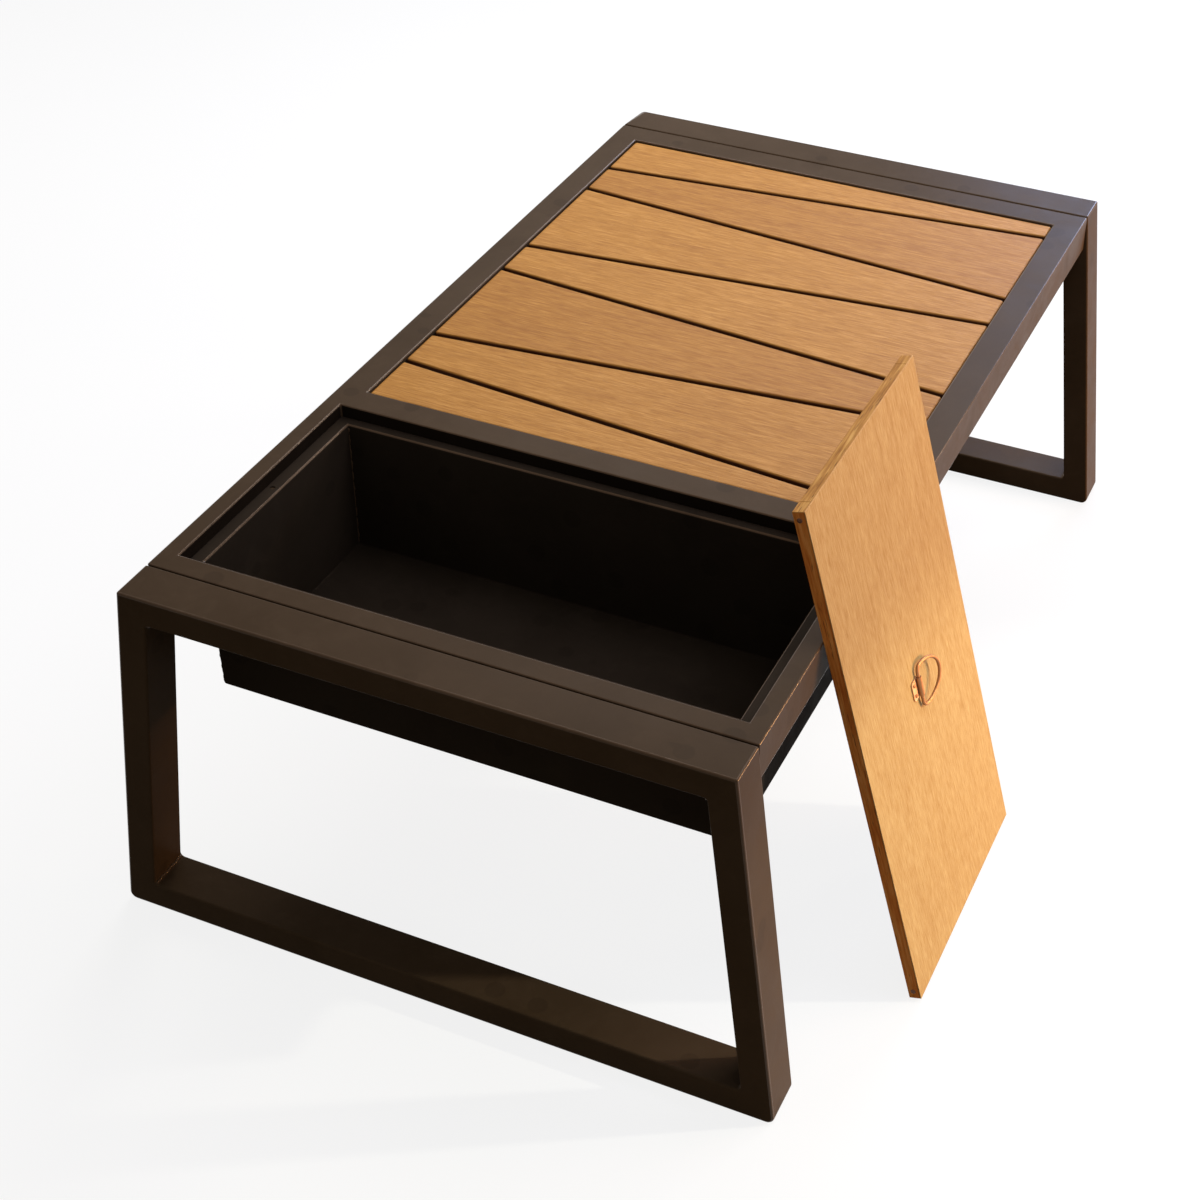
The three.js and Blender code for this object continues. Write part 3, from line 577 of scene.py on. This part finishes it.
def cross(turn, reach):
    """A cross's radius at each angle: an arm's half width over the sine of the angle from the nearest arm, at
    most its reach."""
    half_width = 0.24 * reach
    from_arm = np.abs((turn + pi / 4) % (pi / 2) - pi / 4)
    return np.minimum(reach, half_width / np.maximum(np.sin(from_arm), 0.01))


def turned_steel(name, rows, start, axis):
    """A turned pin with a shaped socket: one closed row of points for each (height, section, size), set
    along an axis from its seat, the first row inside the socket and the last at the tip."""
    slantwise = (0.36, 0.48, 0.8)
    turn = np.linspace(0, 2 * pi, 48, endpoint=False)
    radius = np.stack([section(turn, size) for _, section, size in rows])
    height = np.array([height for height, _, _ in rows])[:, None]
    across = np.cross(axis, slantwise)
    across /= np.linalg.norm(across)
    upward = np.cross(axis, across)
    grid = (
        np.asarray(start) + height[..., None] * np.asarray(axis)
        + (radius * np.cos(turn))[..., None] * across + (radius * np.sin(turn))[..., None] * upward
    )
    return skin(name, grid)


def pan_head(head_radius, head_height, shank_radius, length, socket, socket_size):
    """The rows of a pan-head screw: a socket in a domed head, then a plain shank with a pointed tip."""
    dome_share = 0.55
    rim_share = 0.72
    socket_floor_share = 0.8
    tip_share = 0.1
    rim = rim_share * head_radius
    wall = (1 - dome_share) * head_height
    rows = [(-wall, socket, socket_floor_share * socket_size), (-head_height, socket, socket_size)]
    for turn in np.linspace(0, pi / 2, 5):
        rise = dome_share * head_height * np.cos(turn)
        rows.append((-wall - rise, circle, rim + (head_radius - rim) * np.sin(turn)))
    rows += [(0, circle, head_radius), (0, circle, shank_radius)]
    return rows + [(length - shank_radius, circle, shank_radius), (length, circle, tip_share * shank_radius)]


def wrought_metal(name, colour, roughness, grain_mm):
    """A bare metal that was rolled or drawn: noise of its working marks' own width as a shallow bump, and
    stains a few millimetres wide that darken and dull it."""
    stain_mm = 6.25
    stained_share = 0.72
    material, tree = empty_material(name)
    place = node(tree, "ShaderNodeTexCoord").outputs["Object"]
    marks = node(tree, "ShaderNodeTexNoise", {"Vector": place, "Scale": 1000 / grain_mm, "Detail": 3.0})
    stain = node(tree, "ShaderNodeTexNoise", {
        "Vector": place, "Scale": 1000 / stain_mm, "Detail": 4.0, "Roughness": 0.65,
    })
    dull = node(tree, "ShaderNodeMapRange", {
        "Value": stain.outputs["Fac"], "From Min": 0.3, "From Max": 0.7,
        "To Min": roughness - 0.05, "To Max": roughness + 0.12,
    })
    darker = (*(stained_share * channel for channel in linear(colour)[:3]), 1.0)
    tint = node(tree, "ShaderNodeMix", {
        0: stain.outputs["Fac"], 6: linear(colour), 7: darker,
    }, data_type="RGBA")
    relief = node(tree, "ShaderNodeBump", {
        "Strength": 0.12, "Distance": 0.0001, "Height": marks.outputs["Fac"],
    })
    metal = node(tree, "ShaderNodeBsdfPrincipled", {
        "Base Color": tint.outputs[2], "Metallic": 1.0, "Roughness": dull.outputs[0],
        "Normal": relief.outputs[0],
    })
    node(tree, "ShaderNodeOutputMaterial", {"Surface": metal.outputs[0]})
    return material


# Zinc-plated steel: a soft grey shine
zinc_steel = wrought_metal("zinc_plated_steel", "#8F8C87", 0.38, 0.8)

slat_count = 7


def drive_screw(name, node_name, axis, head_radius, head_height, shank_radius, socket, socket_size):
    """A screw along an axis, as long as its CAD node, with its seat a head's height in from one end."""
    low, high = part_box(node_name)
    length = abs((high - low).dot(axis)) - head_height
    seat = (low + high) / 2 - axis * (length - head_height) / 2
    rows = pan_head(head_radius, head_height, shank_radius, length, socket, socket_size)
    fit(turned_steel(name, rows, seat, axis), (zinc_steel,), "steel_fixings", "frame", node_name)


for end, facing in (("near", -1), ("far", 1)):
    for side in ("left", "right"):
        drive_screw(
            f"{end}_{side}_socket_bolt", f"{end}_{side}_frame_bolt", Vector((0, facing, 0)),
            head_radius=0.005, head_height=0.0035, shank_radius=0.003, socket=hexagon, socket_size=0.0045,
        )
for side in ("left", "right"):
    for i in range(1, slat_count + 1):
        drive_screw(
            f"{side}_slat_steel_{i}", f"{side}_slat_screw_{i}", Vector((0, 0, 1)),
            head_radius=0.004, head_height=0.0024, shank_radius=0.002, socket=cross, socket_size=0.0021,
        )

# The slats
# Seven boards of brushed, oiled wood composite, 13 mm thick. Their gaps slant in turn to either side, their
# edges are softly rounded, and each board is screwed to both bearers from below.

slat_half_width = 0.2852
slat_bottom_z = 0.409
slat_top_z = 0.422
slat_edge_radius = 0.0031
slat_end_gap = 0.0008
slat_gap = 0.0056
bay_pitches = 5.96
first_gap_pitches = 0.45
slant_share = 0.45
slat_pitch = (slat_bay_y[1] - slat_bay_y[0]) / bay_pitches


def gap_line(line):
    """Y of a gap's middle at the slats' left and right ends; lines 0 and 7 are the rails' edges."""
    if line in (0, slat_count):
        return np.full(2, slat_bay_y[line // slat_count])
    middle = slat_bay_y[0] + slat_pitch * (line - 1 + first_gap_pitches)
    return middle + (-1) ** line * slant_share * slat_pitch * np.array([-0.5, 0.5])


def grained_wood(
    name, dark, middle, light, pore, along, streak_mm, band_mm, lean, roughness, relief_mm, pore_share,
):
    """Wood cut along its grain, as three noises stretched along it: fine broken streaks, longer and wider
    ones, and broad bands of tone, each some times as long as the streaks or bands are wide. Short dark
    pores lie between them, and the bump follows both. The pattern is turned by the board's lean first and
    then stretched along its own grain. The attribute board_tone shifts a board's shade, and
    painted_gap_shade darkens its edges down in a gap with painted shade."""
    # The colour of the painted shade down in a gap
    gap_shade_colour = linear("#3C1A08")
    material, tree = empty_material(name)
    place = node(tree, "ShaderNodeTexCoord").outputs["Object"]
    upright = node(tree, "ShaderNodeMapping", {"Vector": place, "Rotation": (0, -lean, 0)}).outputs[0]

    def stretched(length_mm, width_mm, detail, distortion=0.0):
        sizes = [1000 / length_mm if axis == along else 1000 / width_mm for axis in "XYZ"]
        spread = node(tree, "ShaderNodeMapping", {"Vector": upright, "Scale": sizes})
        return node(tree, "ShaderNodeTexNoise", {
            "Vector": spread.outputs[0], "Scale": 1.0, "Detail": detail, "Roughness": 0.6,
            "Distortion": distortion,
        }).outputs["Fac"]

    bands = stretched(6 * band_mm, band_mm, 3.0, distortion=0.4)
    long_streaks = stretched(45 * streak_mm, 2.8 * streak_mm, 3.0)
    streaks = stretched(16 * streak_mm, streak_mm, 3.0)
    pores = stretched(9 * streak_mm, 0.55 * streak_mm, 2.0)
    broad = node(tree, "ShaderNodeMix", {0: 0.6, 2: bands, 3: long_streaks}, data_type="FLOAT")
    mixed = node(tree, "ShaderNodeMix", {0: 0.6, 2: broad.outputs[0], 3: streaks}, data_type="FLOAT")
    toned = node(tree, "ShaderNodeAttribute", attribute_name="board_tone")
    shifted = node(tree, "ShaderNodeMath", {0: mixed.outputs[0], 1: toned.outputs["Fac"]}, operation="ADD")
    tones = node(tree, "ShaderNodeValToRGB", {"Fac": shifted.outputs[0]})
    tones.color_ramp.elements[0].position = 0.34
    tones.color_ramp.elements[0].color = linear(dark)
    tones.color_ramp.elements[1].position = 0.66
    tones.color_ramp.elements[1].color = linear(light)
    tones.color_ramp.elements.new(0.5).color = linear(middle)
    open_pore = node(tree, "ShaderNodeMapRange", {
        "Value": pores, "From Min": 0.62, "From Max": 0.72, "To Min": 0.0, "To Max": pore_share,
    })
    coloured = node(tree, "ShaderNodeMix", {
        0: open_pore.outputs[0], 6: tones.outputs[0], 7: linear(pore),
    }, data_type="RGBA")
    gap_shade_amount = node(tree, "ShaderNodeAttribute", attribute_name="painted_gap_shade")
    gap_shaded = node(tree, "ShaderNodeMix", {
        0: gap_shade_amount.outputs["Fac"], 6: coloured.outputs[2], 7: gap_shade_colour,
    }, data_type="RGBA")
    height = node(tree, "ShaderNodeMath", {0: streaks, 1: open_pore.outputs[0]}, operation="SUBTRACT")
    relief = node(tree, "ShaderNodeBump", {
        "Strength": 0.6, "Distance": relief_mm / 1000, "Height": height.outputs[0],
    })
    gloss = node(tree, "ShaderNodeMapRange", {
        "Value": streaks, "From Min": 0.3, "From Max": 0.7,
        "To Min": roughness + 0.08, "To Max": roughness - 0.05,
    })
    wood = node(tree, "ShaderNodeBsdfPrincipled", {
        "Base Color": gap_shaded.outputs[2], "Roughness": gloss.outputs[0], "IOR": 1.5,
        "Specular IOR Level": 0.12, "Normal": relief.outputs[0],
    })
    node(tree, "ShaderNodeOutputMaterial", {"Surface": wood.outputs[0]})
    return material


def shade_board(piece, tone, face_z, depth, share):
    """Gives a board its own shade, and each point its share of the painted shade in the gaps: 0 on the face,
    rising straight to the full share at a depth."""
    points = np.empty(3 * len(piece.data.vertices), np.float32)
    piece.data.vertices.foreach_get("co", points)
    gap_shade_amount = share * np.clip((face_z - points[2::3]) / depth, 0, 1)
    for name, values in (("board_tone", np.full_like(gap_shade_amount, tone)), ("painted_gap_shade", gap_shade_amount)):
        written = piece.data.attributes.new(name, "FLOAT", "POINT")
        written.data.foreach_set("value", values)


# Brushed and oiled teak-coloured composite: golden brown with fine wire-brush streaks across the table
slat_wood = grained_wood(
    "brushed_oiled_slat_wood", "#925E23", "#A8732D", "#BE8840", "#6A4016", "X",
    streak_mm=1.35, band_mm=26, lean=0, roughness=0.5, relief_mm=0.25, pore_share=0.45,
)
slat_tones = (0.02, 0.00, -0.05, 0.01, 0.01, -0.05, 0.01)
# The painted shade down in the slats' gaps: the depth it grows over and its full share
gap_shade_depth = 0.0019
gap_shade_share = 0.95
for i, tone in enumerate(slat_tones):
    near_gap = slat_end_gap if i == 0 else slat_gap / 2
    far_gap = slat_end_gap if i == slat_count - 1 else slat_gap / 2
    grid = plank(
        -slat_half_width, slat_half_width, gap_line(i) + near_gap, gap_line(i + 1) - far_gap,
        slat_bottom_z, slat_top_z, slat_edge_radius, steps=5,
    )
    slat = skin(f"slat_board_{i + 1}", grid + [table_middle_x, 0, 0])
    shade_board(slat, tone, slat_top_z, gap_shade_depth, gap_shade_share)
    fit(slat, (slat_wood,), "slat_wood", "frame", f"slat_{i + 1}")

# The tub
# A lift-out ice bucket folded from 1.2 mm aluminium sheet and welded down its four corners, with a flange
# that hangs on the ledges and a small hole in its left flange. Its coat is the frame's, a shade darker.

tub_sheet = 0.0012
tub_top_z = 0.4095
tub_bottom_z = 0.2525
tub_taper = 0.0025
flange_half_x = 0.2994
flange_y = (-0.5231, -0.2213)
tub_wall_half_x = 0.2855
tub_wall_y = (-0.5072, -0.2322)
wide_bend = 0.003
tight_bend = 0.002
outer_corner = 0.0022
inner_corner = 0.0012
tub_corner_steps = 5


def tub_shell():
    """One closed sheet: rows of rounded rectangles from the underside of the floor, up the outer wall, out
    round the flange, and down the inner wall to the floor. The walls lean in by the taper, and each bend is
    a quarter circle."""
    quarter = np.linspace(0, pi / 2, 5)
    sine, cosine = np.sin(quarter), np.cos(quarter)
    rim = tub_sheet / 3
    under_z = tub_top_z - tub_sheet
    floor_z = tub_bottom_z + tub_sheet
    wall = (tub_wall_half_x, tub_wall_y)
    bends = (
        (*wall, outer_corner, wide_bend * (sine - 1) - tub_taper, tub_bottom_z + wide_bend * (1 - cosine)),
        (*wall, outer_corner, tight_bend * (1 - cosine), under_z - tight_bend * (1 - sine)),
        (flange_half_x, flange_y, inner_corner, rim * np.array([-1, 0, 0, -1]),
         np.array([under_z, under_z + rim, tub_top_z - rim, tub_top_z])),
        (*wall, inner_corner, wide_bend * (1 - sine) - tub_sheet, tub_top_z - wide_bend * (1 - cosine)),
        (*wall, inner_corner, tight_bend * (cosine - 1) - tub_sheet - tub_taper,
         floor_z + tight_bend * (1 - sine)),
    )
    grids = []
    for half_x, sides_y, corner, outwards, z in bends:
        half_y = (sides_y[1] - sides_y[0]) / 2
        across, along = rounded_rectangle(half_x + outwards, half_y + outwards, corner, tub_corner_steps)
        x, y = across + table_middle_x, along + sum(sides_y) / 2
        grids.append(np.stack([x, y, np.broadcast_to(z[:, None], x.shape)], -1))
    return np.concatenate(grids)


def drill_through(piece, name, radius, x, y, z, reach):
    """Takes a round hole out of a piece: a circle carried straight up past a place."""
    turn = np.linspace(0, 2 * pi, 40, endpoint=False)
    circles = [
        np.stack([x + radius * np.cos(turn), y + radius * np.sin(turn), np.full_like(turn, end)], -1)
        for end in (z - reach, z + reach)
    ]
    drill = skin(name, np.stack(circles))
    hole = piece.modifiers.new(name, "BOOLEAN")
    hole.operation = "DIFFERENCE"
    hole.solver = "EXACT"
    hole.object = drill
    holed = bpy.data.meshes.new_from_object(piece.evaluated_get(bpy.context.evaluated_depsgraph_get()))
    piece.modifiers.remove(hole)
    piece.data = holed
    bpy.data.objects.remove(drill)


# The same polyester coat in near black, a little duller
tub_coat = powder_coat("near_black_powder_coated_aluminium", "#2B241D", "#362E26", 0.46, shine=0.004)
tub_shell_piece = skin("tub_shell", tub_shell())
# The middle of the flange's fold down into the well has the worn coat, a painted highlight line along the
# fold; rows count from under the floor
highlight_fold_rows = (15, 16)
face_row = np.arange(len(tub_shell_piece.data.polygons)) // (4 * tub_corner_steps)
give_faces(tub_shell_piece, (tub_coat, bronze_worn_edges_and_highlight), np.isin(face_row, highlight_fold_rows))
flange_hole_radius = 0.0028
flange_hole_x = table_middle_x - (tub_wall_half_x + opening_half_x) / 2
flange_hole_y = sum(tub_wall_y) / 2
drill_reach = 0.004
drill_through(
    tub_shell_piece, "flange_drill", flange_hole_radius, flange_hole_x, flange_hole_y, tub_top_z, drill_reach,
)
fit(tub_shell_piece, (), "bronze_tub", "tub", "tub")

# The welds down the tub's four inner corners
seam_radius = 0.0011
seam_wander = 0.0003
seam_foot_z = tub_bottom_z + 0.003
seam_head_z = tub_top_z - 0.004
seam_ends = ((tub_sheet + tub_taper, seam_foot_z), (tub_sheet, seam_head_z))
for end, wall_y, facing in (("near", tub_wall_y[0], 1), ("far", tub_wall_y[1], -1)):
    for side, way in (("left", -1), ("right", 1)):
        start, stop = [
            (table_middle_x + way * (tub_wall_half_x - inset), wall_y + facing * inset, z)
            for inset, z in seam_ends
        ]
        seam = weld_bead(f"tub_{end}_{side}_seam", start, stop, seam_radius, seam_wander)
        # The seams take the worn coat, lighter with wear and a painted highlight
        fit(seam, (bronze_worn_edges_and_highlight,), "bronze_tub", "tub")

# The lid
# A teak-faced board, 582 by 301 by 13 mm, taken off the tub and leaned with its back on the right side rail.
# Its veneer covers a core with solid strips all round, screwed together through the long ones.

lid_lean = radians(15.43)
lid_foot_x = 0.397183
lid_middle_y = -0.2405
lid_length = 0.582
lid_half_width = 0.1505
lid_board_thickness = 0.0115
lid_thickness = 0.013
lid_strip_width = 0.018
lid_joint_gap = 0.0003


def leaned(grid):
    """The lid's own places, drawn lying flat with its length along X, turned up to its lean: x goes down
    the board and z out of its face."""
    x, y, z = np.moveaxis(np.asarray(grid, float), -1, 0)
    sine, cosine = np.sin(lid_lean), np.cos(lid_lean)
    return np.stack([lid_foot_x + sine * x + cosine * z, lid_middle_y + y, sine * z - cosine * x], -1)


pattern_turn = pi / 2 - lid_lean
# Oiled teak veneer: pale honey with fine straight grain down the board
face_wood = grained_wood(
    "oiled_teak_face_veneer", "#96733E", "#AB8F5E", "#BBA576", "#7A572A", "X",
    streak_mm=1.0, band_mm=14, lean=pattern_turn, roughness=0.5, relief_mm=0.15, pore_share=0.42,
)
# Sawn and oiled hardwood edges: red-brown, with coarse open pores, and browner in the far strip; the near
# strip's brighter, redder colour is painted light for the shade on its side
sawn = dict(streak_mm=2.6, band_mm=9, lean=pattern_turn, roughness=0.65, relief_mm=0.4, pore_share=0.75)
near_edge_wood_painted_light = grained_wood("sawn_hardwood_near_edging_painted_light", "#BE6226", "#DA843A", "#EEA65C", "#40200C", "X", **sawn)
far_edge_wood = grained_wood(
    "sawn_hardwood_far_edging", "#70401C", "#8A552C", "#A36E40", "#34190A", "X", **sawn,
)
# Pale core board: the lid's plain back
core_wood = grained_wood(
    "pale_core_board", "#B98B54", "#C69A62", "#D2A870", "#8F6533", "X",
    streak_mm=2.0, band_mm=30, lean=pattern_turn, roughness=0.62, relief_mm=0.15, pore_share=0.3,
)
# End grain of the edging: lighter, rough and short in its streaks
end_wood = grained_wood(
    "sawn_hardwood_end_edging", "#7A4C20", "#A97534", "#CC9B52", "#482910", "Y",
    streak_mm=2.8, band_mm=8, lean=pattern_turn, roughness=0.7, relief_mm=0.4, pore_share=0.85,
)

# The boards' places in the lid: x down its length, y across it and z through it
whole_x = (-lid_length, 0)
top_x = (-lid_length, -lid_length + lid_strip_width)
bottom_x = (-lid_strip_width, 0)
core_x = (top_x[1] + lid_joint_gap, bottom_x[0] - lid_joint_gap)
whole_y = (-lid_half_width, lid_half_width)
near_y = (-lid_half_width, -lid_half_width + lid_strip_width)
far_y = (lid_half_width - lid_strip_width, lid_half_width)
core_y = (near_y[1] + lid_joint_gap, far_y[0] - lid_joint_gap)
core_z = (0, lid_board_thickness)
face_z = (lid_board_thickness + lid_joint_gap, lid_thickness)
face_edge = 0.0004
core_edge = 0.0003
strip_edge = 0.0005
lid_boards = (
    ("lid_face_board", whole_x, whole_y, face_z, face_edge, (face_wood, core_wood), "lid_face_veneer"),
    ("lid_core_panel", core_x, core_y, core_z, core_edge, (core_wood,), "lid_core_board"),
    ("lid_near_edging", whole_x, near_y, core_z, strip_edge, (near_edge_wood_painted_light, end_wood), "lid_near_edge_strip"),
    ("lid_far_edging", whole_x, far_y, core_z, strip_edge, (far_edge_wood, end_wood), "lid_far_edge_strip"),
    ("lid_bottom_edging", bottom_x, core_y, core_z, strip_edge, (end_wood,), "lid_bottom_end_strip"),
    ("lid_top_edging", top_x, core_y, core_z, strip_edge, (end_wood,), "lid_top_end_strip"),
)
# A plank's long faces are the middle ring of its skin; the upper one goes with the rounded ones beside it
ring_faces = 4 * plank_steps
middle_ring = (plank_steps - 1) * ring_faces
long_faces = slice(middle_ring, middle_ring + ring_faces)
upper_face = slice(middle_ring + plank_steps - 2, middle_ring + plank_steps + 1)
for name, x, y, z, radius, materials, node_name in lid_boards:
    board = skin(name, leaned(plank(*x, (y[0], y[0]), (y[1], y[1]), *z, radius)))
    cut_faces = np.full(len(board.data.polygons), len(materials) - 1)
    cut_faces[upper_face if materials[0] is face_wood else long_faces] = 0
    give_faces(board, materials, cut_faces)
    fit(board, (), "lid_face_wood" if materials[0] is face_wood else "lid_edge_wood", "lid", node_name)

# Zinc-plated steel that oil and weather have browned: no lighter than the wood around it
browned_steel = wrought_metal("browned_zinc_plated_steel", "#5E4030", 0.5, 0.8)

# The edge screws: countersunk cross-socket heads that stand a little proud, and plain pointed shanks
edge_head_proud = 0.0004
edge_head_radius = 0.0027
edge_head_chamfer = 0.0003
edge_head_depth = 0.002
edge_socket_reach = 0.0016
edge_socket_floor = 0.0011
edge_shank_radius = 0.0015
edge_tip_radius = 0.0002
edge_screw_length = 0.034
edge_screw_rows = [
    (-edge_head_proud / 4, cross, edge_socket_floor),
    (-edge_head_proud, cross, edge_socket_reach),
    (-edge_head_proud, circle, edge_head_radius - edge_head_chamfer),
    (-edge_head_proud / 2, circle, edge_head_radius),
    (edge_head_proud / 2, circle, edge_head_radius),
    (edge_head_depth, circle, edge_shank_radius),
    (edge_screw_length - edge_shank_radius, circle, edge_shank_radius),
    (edge_screw_length, circle, edge_tip_radius),
]
for end, facing in (("near", -1), ("far", 1)):
    for i, x in ((1, -lid_strip_width / 2), (2, -lid_length + lid_strip_width / 2)):
        seat = leaned((x, facing * lid_half_width, lid_board_thickness / 2))
        screw = turned_steel(f"lid_{end}_edge_steel_{i}", edge_screw_rows, seat, (0, -facing, 0))
        fit(screw, (browned_steel,), "steel_fixings", "lid", f"lid_{end}_edge_screw_{i}")

# The ring pull
# A polished copper-plated wire ring, bent to a D, turns on its straight bar inside the curled edge of a
# small copper hinge plate. Two pan-head screws hold the plate to the lid's face.

pull_x = -0.287
pull_y = -0.003
ring_slide = 0.0015
plate_bottom_z = 0.0133
plate_thickness = 0.0012
plate_reach = 0.0145
knuckle_half_length = 0.011
knuckle_wall = 0.001
ring_wire_radius = 0.0018
knuckle_clearance = 0.00035
knuckle_bore = ring_wire_radius + knuckle_clearance
bar_z = plate_bottom_z + knuckle_bore + knuckle_wall
ring_half_length = 0.0243
ring_reach = 0.0398
ring_corner = 0.008
ring_rest_angle = radians(10)
curl_end = 1.12 * pi
curl_steps = 40
flat_steps = 8
corner_steps = 6


def ring_wire():
    """A circle carried round a closed flat path: a straight bar, two corners that are quarter curves, and
    half an ellipse between them, turned about the bar by the angle at which the ring rests."""
    bow_steps, bend_steps, bar_steps, wire_steps = 73, 13, 15, 20
    turn = np.linspace(0, pi, bow_steps)
    bow_y = ring_corner + (ring_reach - ring_corner) * np.sin(turn)
    bow = np.stack([ring_half_length * np.cos(turn), bow_y], 1)
    share = np.linspace(0, 1, bend_steps)[1:-1, None]
    bar_half_length = ring_half_length - ring_corner
    ends = np.array([[-ring_half_length, ring_corner], [-ring_half_length, 0], [-bar_half_length, 0]])
    bend = (1 - share) ** 2 * ends[0] + 2 * share * (1 - share) * ends[1] + share ** 2 * ends[2]
    bar = np.stack([np.linspace(-bar_half_length, bar_half_length, bar_steps), np.zeros(bar_steps)], 1)
    path = np.concatenate([bow, bend, bar, bend[::-1] * [-1, 1]])
    tangent = np.roll(path, -1, axis=0) - np.roll(path, 1, axis=0)
    tangent /= np.linalg.norm(tangent, axis=1, keepdims=True)
    outward = np.stack([tangent[:, 1], -tangent[:, 0]], 1)
    around = np.linspace(0, 2 * pi, wire_steps, endpoint=False)
    flat = path[:, None] + outward[:, None] * (ring_wire_radius * np.cos(around))[None, :, None]
    x, y, z = flat[..., 0], flat[..., 1], np.broadcast_to(ring_wire_radius * np.sin(around), flat.shape[:2])
    sine, cosine = np.sin(ring_rest_angle), np.cos(ring_rest_angle)
    return np.stack([
        x + pull_x + ring_slide, y * cosine - z * sine + pull_y, y * sine + z * cosine + bar_z,
    ], -1)


def hinge_plate():
    """A strip of sheet carried along the bar. Each row is the sheet's underside, flat and then once round
    the bar, and its upper side, back round the bore and then flat again from clear of the curl's end. The
    plate's own end is cut back at its corners by r - sqrt(r² - (r - s)²) at s from its side."""
    corner = 0.003
    curl_clear_y = -0.0022
    quarter = np.arange(corner_steps) / corner_steps * pi / 2
    run_in = corner * (1 - np.cos(quarter))
    draw_in = corner * (1 - np.sin(quarter))
    x = np.concatenate([-knuckle_half_length + run_in, knuckle_half_length - run_in[::-1]])
    cut_back = np.concatenate([draw_in, draw_in[::-1]])
    centre_z = knuckle_bore + knuckle_wall
    curl = np.linspace(-pi / 2, curl_end, curl_steps)
    outer = np.stack([centre_z * np.cos(curl), centre_z + centre_z * np.sin(curl)], 1)
    inner = np.stack([knuckle_bore * np.cos(curl), centre_z + knuckle_bore * np.sin(curl)], 1)
    flat = np.linspace(0, 1, flat_steps + 1)[1:, None] * [-plate_reach, 0]
    top = flat[::-1] + [0, plate_thickness]
    top[-1, 0] = curl_clear_y
    outline = np.concatenate([flat[::-1], outer, inner[::-1], top[::-1]])
    y = np.broadcast_to(outline[:, 0], (len(x), len(outline))).copy()
    near_end = y < -plate_reach + corner
    share = (-plate_reach + corner - y) / corner
    y = np.where(near_end, y + share * cut_back[:, None], y)
    z = np.broadcast_to(outline[:, 1] + plate_bottom_z, y.shape)
    return np.stack([np.broadcast_to(x[:, None] + pull_x, y.shape), y + pull_y, z], -1)


# Polished copper gone a little brown: warm mirror highlights and deep brown in its shadows
copper = wrought_metal("polished_browned_copper", "#AE7A50", 0.47, 1.2)
# The same copper painted pale on the flat plate, a painted reflection of bright sky: pale and satin
copper_painted_reflection = wrought_metal("pale_copper_painted_reflection", "#E3B48C", 0.42, 1.2)
ring_piece = skin("ring_wire", leaned(ring_wire()), joined=True)
fit(ring_piece, (copper,), "copper_pull", "ring", "pull_ring")
plate_piece = skin("curled_hinge_plate", leaned(hinge_plate()))
column = np.arange(len(plate_piece.data.polygons)) % (2 * (flat_steps + curl_steps))
curled = (column > flat_steps + 1) & (column < flat_steps + 2 * curl_steps - 2)
give_faces(plate_piece, (copper_painted_reflection, copper), curled)
fit(plate_piece, (), "copper_pull", "lid", "ring_hinge_plate")

pin_spread = 0.006
pin_inset = 0.0045
pin_seat_z = plate_bottom_z + plate_thickness + lid_joint_gap
pin_rows = pan_head(
    head_radius=0.0019, head_height=0.0009, shank_radius=0.0012, length=0.0098,
    socket=cross, socket_size=0.0011,
)
into_lid = leaned((0, 0, -1)) - leaned((0, 0, 0))
for i, way in ((1, -1), (2, 1)):
    seat = leaned((pull_x + way * pin_spread, pull_y - plate_reach + pin_inset, pin_seat_z))
    screw = turned_steel(f"ring_plate_pin_{i}", pin_rows, seat, into_lid)
    fit(screw, (copper,), "copper_pull", "lid", f"ring_plate_screw_{i}")
